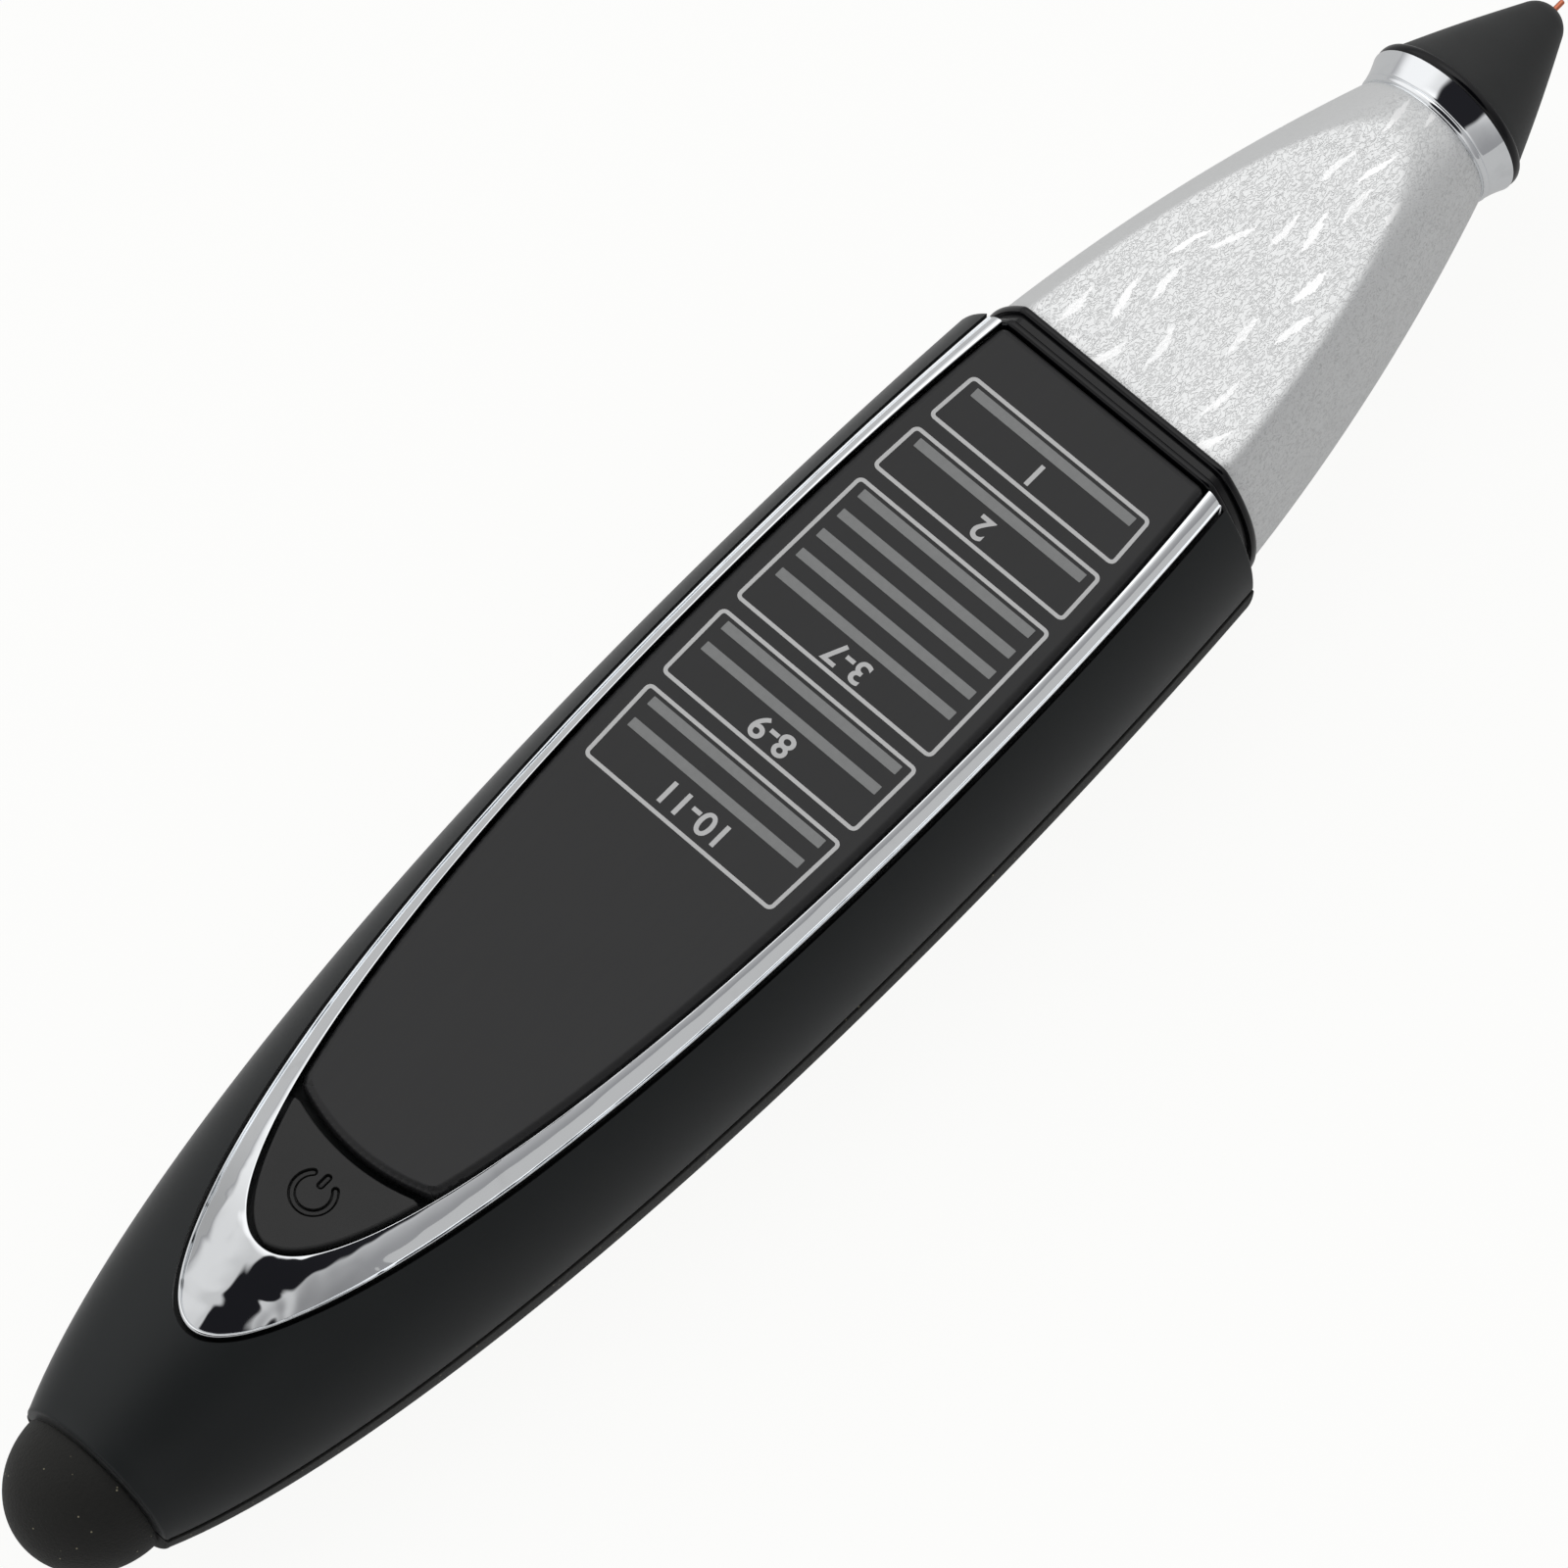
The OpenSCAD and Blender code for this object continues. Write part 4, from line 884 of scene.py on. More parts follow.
class TESTER_OT_trim(bpy.types.Operator):
    """The plated trim: a land round the window and a slope that widens to a spoon at the tail"""

    bl_idname = "tester.trim"
    bl_label = "Trim"

    def execute(self, context):
        front = HIGH["trim_bezel"].x
        steps = 110
        rings = []
        for i in range(-steps, steps + 1):
            side = -1 if i < 0 else 1
            share = 1 - (i / steps) ** 2
            inner_x = front - (front - window_end()) * share
            inner = Vector((inner_x, side * window_y(inner_x), HIGH["trim_bezel"].z))
            outer_x, outer_y = trim_foot(abs(i) / steps, 0.0)
            outer = Vector((outer_x, side * outer_y, rim_z(outer_x)))
            if i == 0:
                inner.y = outer.y = 0.0
            rings.append(self.section(inner, outer))
        dressed(laid("trim_plating", rings), plated_chrome(), "body", "trim_chrome", "trim_bezel", angle=50)
        return {"FINISHED"}

    def section(self, inner, outer):
        """A ring across the trim: up the inner wall, over the land, down the swollen slope and the foot."""
        z = sizes()
        deck = LOW["trim_bezel"].z
        out = Vector((outer.x - inner.x, outer.y - inner.y, 0))
        run = out.length
        out.normalize()
        drop = inner.z - outer.z
        land = min(z.trim_land, 0.4 * run)
        bead = min(0.4 * MM, 0.12 * run)
        lip = 0.1 * MM
        ring = [Vector((inner.x, inner.y, deck)), inner - Vector((0, 0, lip))]
        ring += [inner + out * lip * (1 - math.cos(a)) + Vector((0, 0, lip * (math.sin(a) - 1)))
                 for a in (math.radians(30), math.radians(60), math.radians(90))]
        swell = 18
        for k in range(swell + 1):
            t = k / swell
            fall = t * t * (2 - t) * 0.35 + t * 0.65
            rise = z.trim_bulge * math.sin(math.pi * t)
            ring.append(inner + out * (land + (run - land - bead) * t) + Vector((0, 0, rise - drop * fall)))
        foot = ring[-1]
        for k in range(1, 9):
            a = math.pi * k / 8
            ring.append(foot + out * bead * (1 - math.cos(a)) / 2 + Vector((0, 0, 0.45 * bead * math.sin(a))))
        ring.append(Vector((outer.x, outer.y, deck)))
        return ring


class TESTER_OT_panel(bpy.types.Operator):
    """The display panel, its printed frames, bars and numbers"""

    bl_idname = "tester.panel"
    bl_label = "Display panel"

    groups = (1, 1, 5, 2, 2)
    front_margin, bar_start, bar_pitch = 4.9 * MM, 1.05 * MM, 2.2 * MM
    number_room, last_room, frame_gap = 3.7 * MM, 4.3 * MM, 1.15 * MM

    def outline(self):
        """The panel's outline: round the front and both sides, and along the arc before the button."""
        z = sizes()
        centre = z.widest - z.arc_crown + z.arc_radius
        radius = z.arc_radius - z.arc_gap / 2
        side = [(x, y) for x, y in window_side(z.panel_gap)
                if x > centre or (x - centre) ** 2 + y ** 2 < radius ** 2]
        last = side[-1]
        reach = math.atan2(last[1], centre - last[0])
        arc = []
        for k in range(1, 24):
            a = reach * (1 - k / 12)
            arc.append((centre - radius * math.cos(a), radius * math.sin(a)))
        return side + arc + [(x, -y) for x, y in reversed(side)]

    def frames(self):
        """Front and rear edge of each printed frame and the places of its bars, from the tip end."""
        x = HIGH["upper_casing"].x - self.front_margin
        last = len(self.groups) - 1
        places = []
        for i, count in enumerate(self.groups):
            bars = [x - self.bar_start - self.bar_pitch * k for k in range(count)]
            rear = bars[-1] - (self.last_room if i == last else self.number_room)
            places.append((x, rear, bars))
            x = rear - self.frame_gap
        return places

    def plate(self, name, corners, corner, low, high, line=0.0):
        """A thin printed shape with round corners; with a line width only its border stays."""
        piece = drawn(name, [(x, y, low) for x, y in corners])
        bpy.ops.mesh.edge_face_add()
        bpy.ops.mesh.bevel(offset=corner, offset_type="OFFSET", segments=5, affect="VERTICES")
        if line:
            bpy.ops.mesh.select_mode(type="FACE")
            bpy.ops.mesh.select_all(action="SELECT")
            bpy.ops.mesh.inset(thickness=line)
            bpy.ops.mesh.delete(type="FACE")
            bpy.ops.mesh.select_mode(type="VERT")
        bpy.ops.mesh.select_all(action="SELECT")
        bpy.ops.mesh.extrude_region_move(TRANSFORM_OT_translate={"value": (0, 0, high - low)})
        return tidy(piece)

    def execute(self, context):
        z = sizes()
        low, top = LOW["display_panel"].z, HIGH["display_panel"].z
        front = HIGH["display_panel"].x
        panel = slab("smoked_panel", self.outline(), low, top)
        self.roll_front(panel, front, top)
        rounded(panel, 0.12 * MM, 3, 50)
        dressed(panel, smoked_panel(), "body", "panel_grey", "display_panel", weighted=True)

        ink_low, ink_high = top - z.print_rise, top + z.print_rise
        borders, bars, digits = [], [], []
        number = 1
        for count, (start, end, bar_places) in zip(self.groups, self.frames()):
            near, away = window_y(start) - z.frame_margin, window_y(end) - z.frame_margin
            corners = [(start, near), (end, away), (end, -away), (start, -near)]
            borders.append(self.plate("border", corners, 0.55 * MM, ink_low, ink_high, z.frame_line))
            for x in bar_places:
                half = window_y(x) - z.bar_margin
                ahead, behind = x + z.bar_width / 2, x - z.bar_width / 2
                corners = [(ahead, half), (behind, half), (behind, -half), (ahead, -half)]
                bars.append(self.plate("bar", corners, 0.06 * MM, ink_low, ink_high))
            label = str(number) if count == 1 else f"{number}-{number + count - 1}"
            digits.append(self.digits(label, (bar_places[-1] - z.bar_width / 2 + end) / 2, ink_low))
            number += count
        ink = printed("frame_ink", finishes().ink, 0.05)
        dressed(joined("panel_print_frames", borders), ink, "body", "panel_grey")
        dressed(joined("panel_print_numbers", digits), ink, "body", "panel_grey")
        bar_ink = printed("bar_ink", finishes().bars, 0.09)
        dressed(joined("panel_print_bars", bars), bar_ink, "body", "panel_grey")
        return {"FINISHED"}

    def roll_front(self, panel, front, top):
        """Rolls the panel's upper front edge."""
        focus(panel)
        for edge in panel.data.edges:
            ends = [panel.data.vertices[i].co for i in edge.vertices]
            edge.select = all(abs(p.x - front) < 1e-6 and abs(p.z - top) < 1e-6 for p in ends)
        bpy.ops.object.mode_set(mode="EDIT")
        bpy.ops.mesh.select_mode(type="EDGE")
        bpy.ops.mesh.bevel(offset=0.75 * MM, offset_type="OFFSET", segments=7, affect="EDGES")
        bpy.ops.mesh.select_mode(type="VERT")
        bpy.ops.object.mode_set(mode="OBJECT")

    def digits(self, label, x, low):
        """A number across the panel, its top towards the tail."""
        z = sizes()
        clear_selection()
        bpy.ops.object.text_add()
        text = bpy.context.object
        text.data.body = label
        text.data.size = z.digit_height
        text.data.align_x = "CENTER"
        text.data.align_y = "CENTER"
        text.data.resolution_u = 6
        text.data.offset = 0.05 * MM
        bpy.ops.object.convert(target="MESH")
        bpy.ops.object.origin_set(type="GEOMETRY_ORIGIN", center="BOUNDS")
        piece = named("digits")
        placed(piece, (x, 0, low), (0, 0, math.pi / 2))
        bpy.ops.object.mode_set(mode="EDIT")
        bpy.ops.mesh.select_all(action="SELECT")
        bpy.ops.mesh.extrude_region_move(TRANSFORM_OT_translate={"value": (0, 0, 2 * z.print_rise)})
        return tidy(piece, 0.0005 * MM)


class TESTER_OT_button(bpy.types.Operator):
    """The power button with its sunk sign and its plunger"""

    bl_idname = "tester.button"
    bl_label = "Power button"

    def outline(self):
        z = sizes()
        centre = z.widest - z.arc_crown + z.arc_radius
        radius = z.arc_radius + z.arc_gap / 2
        side = [(x, y) for x, y in window_side(z.button_gap, 144)
                if x < centre and (x - centre) ** 2 + y ** 2 > radius ** 2]
        first = side[0]
        reach = math.atan2(first[1], centre - first[0])
        arc = []
        for k in range(1, 24):
            a = -reach + 2 * reach * k / 24
            arc.append((centre - radius * math.cos(a), radius * math.sin(a)))
        return side + [(x, -y) for x, y in reversed(side[:-1])] + arc

    def sign(self, x, inset):
        """Outlines of a broken ring and of a bar in its gap, which faces the tip, drawn in by an inset."""
        z = sizes()
        half = z.sign_line / 2
        middle, thick = z.sign_radius - half, half - inset
        gap = math.radians(43)
        turns = [gap + (2 * math.pi - 2 * gap) * k / 40 for k in range(41)]
        ring = [(x + (middle + thick) * math.cos(a), (middle + thick) * math.sin(a)) for a in turns]
        ring += self.end(x, middle, -gap, thick, -gap)
        ring += [(x + (middle - thick) * math.cos(a), (middle - thick) * math.sin(a))
                 for a in reversed(turns)]
        ring += self.end(x, middle, gap, thick, gap + math.pi)
        bar = self.end(x, 0.97 * z.sign_radius - half, 0.0, thick, -math.pi / 2)
        bar += self.end(x, 0.22 * z.sign_radius + half, 0.0, thick, math.pi / 2)
        return ring, bar

    def end(self, x, radius, turn, thick, start):
        """A half round end at a radius and a turn about the sign's centre."""
        place = (x + radius * math.cos(turn), radius * math.sin(turn))
        turns = [start + math.pi * k / 8 for k in range(9)]
        return [(place[0] + thick * math.cos(a), place[1] + thick * math.sin(a)) for a in turns]

    def execute(self, context):
        z = sizes()
        low, high = LOW["power_button"], HIGH["power_button"]
        stem = (LOW["switch_stem"] + HIGH["switch_stem"]) / 2
        plate = slab("power_button_plate", self.outline(), high.z - 1.2 * MM, high.z)
        rounded(plate, 0.2 * MM, 4, 50)
        for outline in self.sign(stem.x, 0.0):
            carved(plate, slab("sign_cut", outline, high.z - z.sign_depth, high.z + 1 * MM))
        lines = []
        for outline in self.sign(stem.x, z.sign_groove):
            line = slab("sign_line", outline, high.z - 0.8 * MM, high.z - 0.14 * MM)
            lines.append(rounded(line, 0.06 * MM, 2, 60))
        chamfer, top = 0.2 * MM, high.z - 0.6 * MM
        profile = [(low.z, 0.0), (low.z, z.plunger_radius - chamfer), (low.z + chamfer, z.plunger_radius),
                   (top, z.plunger_radius), (top, 0.0)]
        plunger = placed(turned("plunger", profile, 40, "Z"), (stem.x, 0, 0))
        button = joined("power_button_plate", [plate, plunger] + lines)
        dressed(button, moulded_button(), "button", "button_grey", "power_button", weighted=True)
        return {"FINISHED"}


class TESTER_OT_tail_cap(bpy.types.Operator):
    """The rubber cap that plugs the tail"""

    bl_idname = "tester.tail_cap"
    bl_label = "Tail cap"

    def execute(self, context):
        z = sizes()
        gap, lip = 0.15 * MM, 0.3 * MM
        seam, dome = -z.tail_seam - gap, z.tail_close - z.tail_seam - gap
        end = seam + z.plug_length + gap
        profile = [(end, 0.0), (end, z.plug_radius - lip), (end - lip, z.plug_radius), (seam, z.plug_radius)]
        for a in angles(0, 90, 15):
            profile.append((seam - lip * (1 - math.cos(a)), z.cap_radius - lip + lip * math.sin(a)))
        for a in angles(4, 90, 3):
            profile.append((seam - dome * math.sin(a), z.cap_radius * math.cos(a)))
        profile.append((seam - dome, 0.0))
        cap = turned("tail_cap_rubber", profile, 128)
        placed(cap, (z.widest, 0, z.axis_height), (0, -z.tilt, 0))
        dressed(cap, bpy.data.materials["grained_rubber"], "cap", "casing_rubber", "tail_cap")
        return {"FINISHED"}


class TESTER_OT_nose(bpy.types.Operator):
    """The gasket and the grained nose: a long turned curve with a flat above and below"""

    bl_idname = "tester.nose"
    bl_label = "Nose"

    def section(self, x, radius, flat):
        """A ring round the nose's axis, a circle drawn in by two flats, the edges softer on one side."""
        edge = min(math.asin(min(1.0, flat / radius)), math.radians(76))
        spread = math.radians(6)
        quarter = [(edge - spread) * k / 24 for k in range(24)]
        quarter += [edge - spread + 2 * spread * k / 16 for k in range(16)]
        quarter += [edge + spread + (math.pi / 2 - edge - spread) * k / 12 for k in range(12)]
        half = quarter + [math.pi / 2] + [math.pi - a for a in reversed(quarter)]
        ring = []
        for a in half[:-1] + [a + math.pi for a in half[:-1]]:
            sharp = 130.0 if math.cos(a) > 0 else 70.0
            level = abs(math.sin(a)) / flat
            reach = radius * (1 + (level * radius) ** sharp) ** (-1 / sharp)
            ring.append(Vector((x, reach * math.cos(a), sizes().nose_height + reach * math.sin(a))))
        return ring

    def execute(self, context):
        z = sizes()
        start, end = LOW["nose_gasket"].x, HIGH["nose_gasket"].x
        rim = (end - start) / 3
        radius, flat = z.nose_radius + z.gasket_step, z.flat_base + z.gasket_step
        rings = []
        for first, last in ((start, start + rim), (end - rim, end)):
            for a in angles(0, 181, 20):
                x = first + (last - first) * (1 - math.cos(a)) / 2
                sink = z.gasket_groove * (1 - math.sqrt(max(0.0, math.sin(a))))
                rings.append(self.section(x, radius - sink, flat - sink))
        gasket = laid("nose_gasket_moulding", rings)
        dressed(gasket, glossy_seal(), "body", "seal_black", "nose_gasket", angle=60)

        start, end = HIGH["nose_gasket"].x, LOW["collar_ring"].x
        root = 0.25 * MM
        rings = [self.section(start, z.nose_radius - root, z.flat_base - root)]
        steps = 72
        for i in range(steps + 1):
            share = i / steps
            x = start + (end - start) * share
            edge = 0.12 * MM if i in (0, steps) else 0.0
            flat = z.flat_base + (z.flat_neck - z.flat_base) * share
            rings.append(self.section(x, nose_curve(share) - edge, flat - edge))
        shell = laid("nose_grained_shell", rings)
        dressed(shell, grained_silver(), "body", "nose_silver", "nose_shell", angle=60)
        return {"FINISHED"}


class TESTER_OT_probe(bpy.types.Operator):
    """The collar, the seal, the cone and the copper pin"""

    bl_idname = "tester.probe"
    bl_label = "Probe"

    def piece(self, name, profile, sides):
        return placed(turned(name, profile, sides), (0, 0, sizes().nose_height))

    def collar(self, neck, seal):
        z = sizes()
        flare = (z.collar_radius - z.neck_radius) / (seal - neck)
        bead, groove = 0.4 * MM, 0.1 * MM
        sunk = z.neck_radius - groove
        profile = [(neck, z.probe_bore), (neck, sunk), (neck + groove, sunk)]
        for a in angles(0, 181, 20):
            along = groove + bead * (1 - math.cos(a)) / 2
            profile.append((neck + along, z.neck_radius + flare * along + 0.07 * MM * math.sin(a)))
        along = 1.6 * groove + bead
        profile.append((neck + along, z.neck_radius + flare * along - 0.8 * groove))
        start = 2.2 * groove + bead
        for k in range(13):
            t = k / 12
            along = start + (seal - neck - start - 0.06 * MM) * t
            profile.append((neck + along, z.neck_radius + flare * along - 0.06 * MM * math.sin(math.pi * t)))
        profile += [(seal, z.collar_radius - 0.08 * MM), (seal, z.probe_bore), (neck, z.probe_bore)]
        collar = self.piece("collar_plating", profile, z.sides)
        dressed(collar, bpy.data.materials["plated_chrome"], "body", "trim_chrome", "collar_ring", angle=50)

    def seal_ring(self, seal, cone):
        z = sizes()
        rim = 0.28 * MM
        profile = [(seal, z.probe_bore), (seal, z.collar_radius - rim)]
        for a in angles(0, 181, 20):
            place = (seal + cone) / 2 - (cone - seal) / 2 * math.cos(a)
            profile.append((place, z.collar_radius - rim + rim * math.sin(a)))
        profile += [(cone, z.probe_bore), (seal, z.probe_bore)]
        ring = self.piece("cone_seal_ring", profile, z.sides)
        dressed(ring, bpy.data.materials["glossy_seal"], "body", "seal_black", "cone_seal", angle=60)

    def cone(self, base, tip, pin_radius):
        """The cone: a lip, a slightly swollen slope that meets a round end, and the pin's hole."""
        z = sizes()
        centre = tip - z.cone_end
        run = centre - base
        slope = math.atan2(z.cone_radius, run) - math.asin(z.cone_end / math.hypot(z.cone_radius, run))
        lip, nib = 0.15 * MM, 1.2 * MM
        foot = Vector((base + lip, z.cone_radius - lip * math.tan(slope)))
        touch = Vector((centre + z.cone_end * math.sin(slope), z.cone_end * math.cos(slope)))
        profile = [(base, z.cone_bore), (base, z.cone_radius - lip),
                   (base + lip / 3, z.cone_radius - 0.04 * MM), tuple(foot)]
        for k in range(1, 16):
            place = foot.lerp(touch, k / 16)
            profile.append((place.x, place.y + z.cone_swell * math.sin(math.pi * k / 16)))
        hole = pin_radius + 0.05 * MM
        last = math.acos(hole / z.cone_end)
        for k in range(17):
            a = slope + (last - slope) * k / 16
            profile.append((centre + z.cone_end * math.sin(a), z.cone_end * math.cos(a)))
        profile += [(tip - nib, hole), (tip - nib, nib), (base + 2 * MM, z.cone_bore), (base, z.cone_bore)]
        shell = self.piece("probe_cone_moulding", profile, z.sides)
        dressed(shell, moulded_cone(), "body", "cone_black", "probe_cone", angle=50)

    def pin(self, rear, end, radius):
        nose, flat = 0.15 * MM, 0.08 * MM
        profile = [(rear, 0.0), (rear, radius), (end - nose, radius)]
        for a in angles(15, 90, 15):
            profile.append((end - nose * (1 - math.sin(a)), flat + (radius - flat) * math.cos(a)))
        profile += [(end, flat), (end, 0.0)]
        copper = bright_metal("copper", finishes().copper, 0.28, 0.05 * MM)
        dressed(self.piece("probe_pin_copper", profile, 48), copper, "probe", "copper", "probe_pin")

    def execute(self, context):
        neck, seal, cone = LOW["collar_ring"].x, HIGH["collar_ring"].x, LOW["probe_cone"].x
        rear, end = LOW["probe_pin"], HIGH["probe_pin"]
        self.collar(neck, seal)
        self.seal_ring(seal, cone)
        self.cone(cone, HIGH["probe_cone"].x, end.y)
        self.pin(rear.x, end.x, end.y)
        return {"FINISHED"}


class TESTER_OT_inside(bpy.types.Operator):
    """Finishes of the CAD pieces that stay, inside and below, and the plunger's spring"""

    bl_idname = "tester.inside"
    bl_label = "Works"

    def plunger_spring(self, material):
        """The plunger's spring: a coil of round wire along the probe's axis."""
        low, high = LOW["probe_spring"], HIGH["probe_spring"]
        wire, turns = 0.2 * MM, 6
        run = high.x - low.x
        clear_selection()
        bpy.ops.mesh.primitive_circle_add(vertices=14, radius=wire, location=(0, 0, high.y - wire),
                                          rotation=(math.pi / 2, 0, 0))
        bpy.ops.object.transform_apply(location=True, rotation=True, scale=True)
        pitch = (run - 2 * wire) / turns
        spring = modified(named("plunger_spring_coil"), "SCREW", axis="X", angle=2 * math.pi,
                          iterations=turns, screw_offset=pitch, steps=36, render_steps=36)
        bpy.ops.object.mode_set(mode="EDIT")
        bpy.ops.mesh.select_all(action="SELECT")
        bpy.ops.mesh.fill_holes(sides=0)
        placed(tidy(spring), (low.x + wire, 0, sizes().nose_height))
        dressed(spring, material, "body", "spring_steel", "probe_spring")
        travel = next(joint for joint in frame["joints"] if joint["name"] == "pin_press")["range_m"][1]
        (run - travel) / run
        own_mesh(spring)

    def execute(self, context):
        brass = bright_metal("brass", (0.72, 0.5, 0.22), 0.25, 0.06 * MM)
        spring = bright_metal("spring_steel", (0.6, 0.6, 0.61), 0.22, 0.05 * MM)
        steel = bright_metal("contact_steel", (0.66, 0.66, 0.65), 0.24, 0.08 * MM)
        screw = bright_metal("screw_steel", (0.52, 0.53, 0.54), 0.3, 0.1 * MM)
        black = plain_plastic("chip_black", (0.012, 0.012, 0.013), 0.45, 0.08 * MM)
        board = circuit_board()
        looks = {
            "battery_door": bpy.data.materials["grained_rubber"],
            "light_diffuser": plain_plastic("diffuser", (0.75, 0.75, 0.7), 0.4, 0.1 * MM),
            "light_pipes": plain_plastic("light_pipe", (0.6, 0.63, 0.66), 0.2, 0.2 * MM),
            "probe_plunger": brass, "probe_barrel": brass, "link_pins": brass,
            "battery_springs": spring,
            "barrel_plug": plain_plastic("plug_nylon", (0.62, 0.6, 0.54), 0.4, 0.1 * MM),
            "probe_leads": plain_plastic("lead_red", (0.32, 0.018, 0.015), 0.4, 0.1 * MM),
            "main_board": board, "usb_board": board,
            "indicator_leds": plain_plastic("lamp_white", (0.8, 0.78, 0.6), 0.25, 0.1 * MM),
            "controller_chip": black, "power_switch": black, "buzzer": black,
            "switch_stem": steel, "usb_socket": steel, "contact_plates": steel,
            "board_screws": screw, "casing_screws": screw,
            "battery_cells": cell_wrapper(),
        }
        for name, material in looks.items():
            node = frame["nodes"][name]
            node.data.materials.clear()
            node.data.materials.append(material)
        self.plunger_spring(spring)
        return {"FINISHED"}


class TESTER_OT_stage(bpy.types.Operator):
    """The studio: floor, light and camera"""

    bl_idname = "tester.stage"
    bl_label = "Stage"

    def floor(self):
        clear_selection()
        bpy.ops.mesh.primitive_plane_add(size=4, location=(0, 0, -0.1 * MM))
        floor = named("studio_floor")
        bpy.ops.object.transform_apply(location=True, rotation=True, scale=True)
        sheet = Sheet("studio_floor")
        colour = finishes().floor
        tone = sheet.noise(0.3, detail=2)
        base = sheet.mixed(tone, shade(colour, 0.985), shade(colour, 1.0))
        matt = sheet.node("ShaderNodeBsdfDiffuse", None, {"Color": base})
        grey = sheet.node("ShaderNodeEmission", None, {"Color": (0.5, 0.5, 0.5, 1), "Strength": 1.0})
        white = sheet.node("ShaderNodeEmission", None, {"Color": (1, 1, 0.99, 1), "Strength": 1.0})
        clear = sheet.node("ShaderNodeBsdfTransparent")
        glossy = sheet.node("ShaderNodeLightPath", output="Is Glossy Ray")
        camera = sheet.node("ShaderNodeLightPath", output="Is Camera Ray")
        below = sheet.node("ShaderNodeNewGeometry", output="Backfacing")
        both = sheet.node("ShaderNodeMixShader", None, {0: glossy * 0.8, 1: matt, 2: grey})
        both = sheet.node("ShaderNodeMixShader", None, {0: camera * 0.93, 1: both, 2: white})
        sheet.node_out(sheet.node("ShaderNodeMixShader", None, {0: below, 1: both, 2: clear}))
        floor.data.materials.append(sheet.material)

    def toward(self, sheet, where, direction):
        """Cosine of the angle between a ray and a direction."""
        direction = tuple(Vector(direction).normalized())
        return sheet.node("ShaderNodeVectorMath", {"operation": "DOT_PRODUCT"},
                          {0: where, 1: direction}, "Value")

    def sky(self):
        world = bpy.data.worlds.new("studio")
        bpy.context.scene.world = world
        world.use_nodes = True
        sheet = Sheet("studio", world.node_tree)
        where = sheet.node("ShaderNodeTexCoord", output="Generated")
        level = self.toward(sheet, where, (0, 0, 1)).step(0.0, 0.55)
        flank = self.toward(sheet, where, (0.2, -0.95, 0.2)).step(0.55, 0.95)
        above = self.toward(sheet, where, (0.30, 0.27, 0.92)).step(0.88, 0.98)
        left = self.toward(sheet, where, (-0.15, 0.80, 0.60)).step(0.8, 0.97)
        dark = self.toward(sheet, where, (-0.30, -0.27, 0.92)).step(0.84, 0.9)
        colour = sheet.mixed(level, (0.6, 0.6, 0.61, 1), (1.05, 1.05, 1.05, 1))
        colour = sheet.mixed(flank * 0.7, colour, (0.3, 0.3, 0.31, 1))
        colour = sheet.mixed(left, colour, (1.3, 1.3, 1.3, 1))
        colour = sheet.mixed(above, colour, (1.9, 1.9, 1.9, 1))
        colour = sheet.mixed(dark, colour, (0.02, 0.02, 0.024, 1))
        light = sheet.node("ShaderNodeBackground", None,
                           {"Color": colour, "Strength": bpy.context.scene.tester_studio.sky})
        white = sheet.node("ShaderNodeBackground", None, {"Color": (1, 1, 1, 1), "Strength": 1.0})
        path = sheet.node("ShaderNodeLightPath", output="Is Camera Ray")
        both = sheet.node("ShaderNodeMixShader", None, {0: path, 1: light, 2: white})
        sheet.node_out(both, "ShaderNodeOutputWorld")

    def lamp(self, name, toward, away, size, radiance):
        """A soft box that faces the pen."""
        clear_selection()
        direction = Vector(toward).normalized()
        bpy.ops.object.light_add(type="AREA", location=direction * away)
        light = bpy.context.object
        light.name = light.data.name = name
        light.rotation_euler = direction.to_track_quat("Z", "Y").to_euler()
        light.data.shape = "SQUARE"
        light.data.size = size
        light.data.energy = radiance * math.pi * size ** 2
        light.visible_glossy = False

    def execute(self, context):
        studio = context.scene.tester_studio
        self.floor()
        self.sky()
        self.lamp("box_above", (0.30, 0.27, 0.92), 0.9, 0.5, 0.6)
        self.lamp("box_left", (-0.15, 0.80, 0.60), 0.9, 0.5, 0.5)
        low = math.cos(studio.elevation)
        back = Vector((math.sin(studio.azimuth) * low, -math.cos(studio.azimuth) * low,
                       math.sin(studio.elevation)))
        right = Vector((0, 0, 1)).cross(back).normalized()
        up = back.cross(right)
        turned_right = math.cos(studio.roll) * right + math.sin(studio.roll) * up
        turned_up = math.cos(studio.roll) * up - math.sin(studio.roll) * right
        clear_selection()
        bpy.ops.object.camera_add(location=Vector(studio.target) + back * studio.distance)
        camera = bpy.context.object
        camera.rotation_euler = Matrix((turned_right, turned_up, back)).transposed().to_euler()
        camera.data.sensor_width = 36
        camera.data.lens = studio.lens
        camera.data.clip_start = 0.01
        camera.data.clip_end = 20
        context.scene.camera = camera
        context.scene.view_settings.view_transform = "Standard"
        return {"FINISHED"}


OPERATORS = (TESTER_OT_casings, TESTER_OT_trim, TESTER_OT_panel, TESTER_OT_button, TESTER_OT_tail_cap,
             TESTER_OT_nose, TESTER_OT_probe, TESTER_OT_inside, TESTER_OT_stage)


class TESTER_PT_pen(bpy.types.Panel):
    """The steps that dress the pen, in order"""

    bl_label = "Gem tester pen"
    bl_idname = "TESTER_PT_pen"
    bl_space_type = "VIEW_3D"
    bl_region_type = "UI"
    bl_category = "Gem tester"

    def draw(self, context):
        for operator in OPERATORS:
            self.layout.operator(operator.bl_idname)


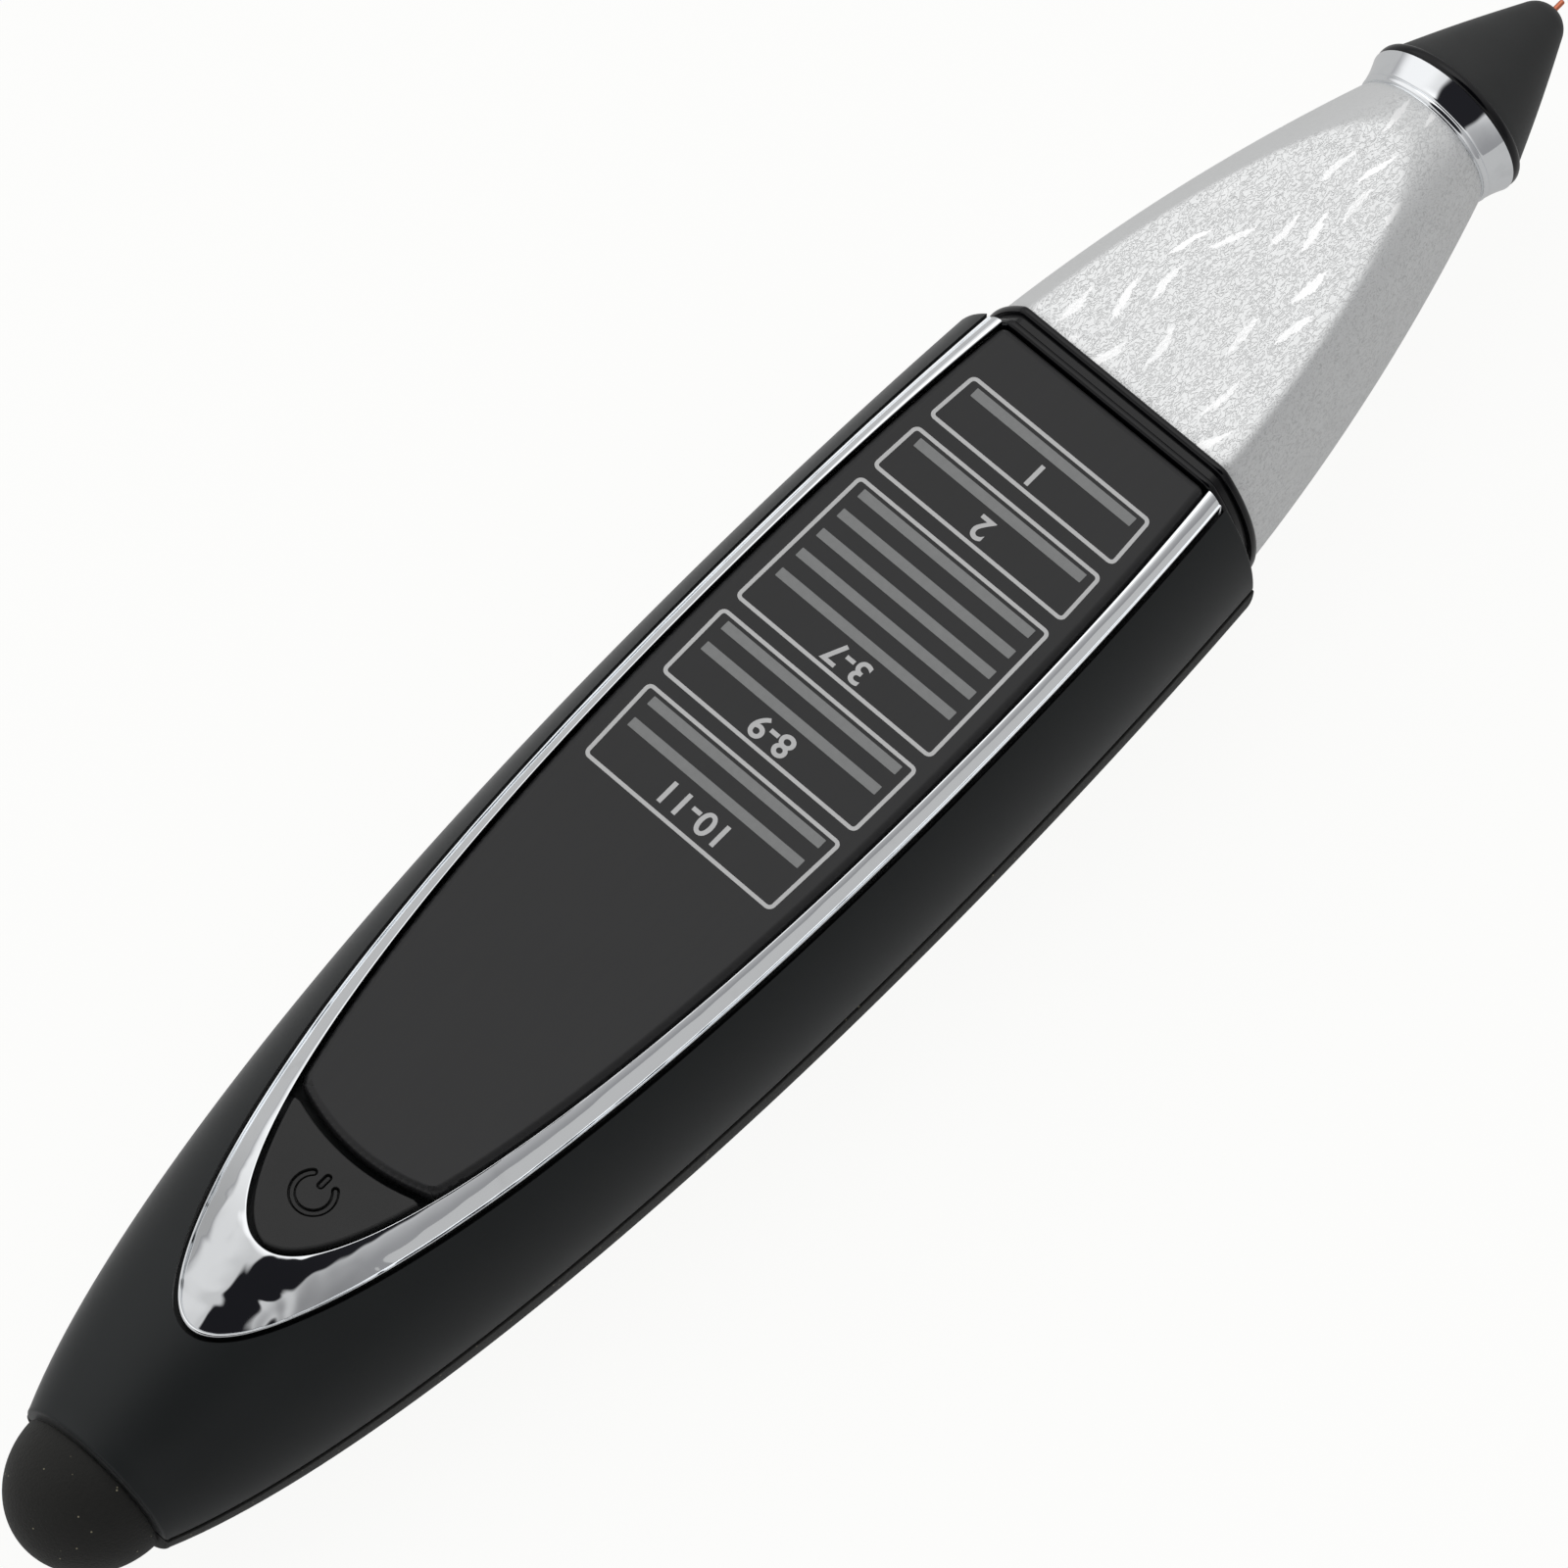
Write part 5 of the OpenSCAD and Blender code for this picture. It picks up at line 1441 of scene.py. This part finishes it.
GROUPS = {"tester_sizes": TesterSizes, "tester_finishes": TesterFinishes, "tester_studio": TesterStudio}
CLASSES = tuple(GROUPS.values()) + OPERATORS + (TESTER_PT_pen,)


def register():
    for cls in CLASSES:
        bpy.utils.register_class(cls)
    for name, group in GROUPS.items():
        setattr(bpy.types.Scene, name, PointerProperty(type=group))


def unregister():
    for name in GROUPS:
        delattr(bpy.types.Scene, name)
    for cls in reversed(CLASSES):
        bpy.utils.unregister_class(cls)


def main():
    register()
    bpy.ops.tester.casings()
    bpy.ops.tester.trim()
    bpy.ops.tester.panel()
    bpy.ops.tester.button()
    bpy.ops.tester.tail_cap()
    bpy.ops.tester.nose()
    bpy.ops.tester.probe()
    bpy.ops.tester.inside()
    bpy.ops.tester.stage()


if __name__ == "__main__":
    main()
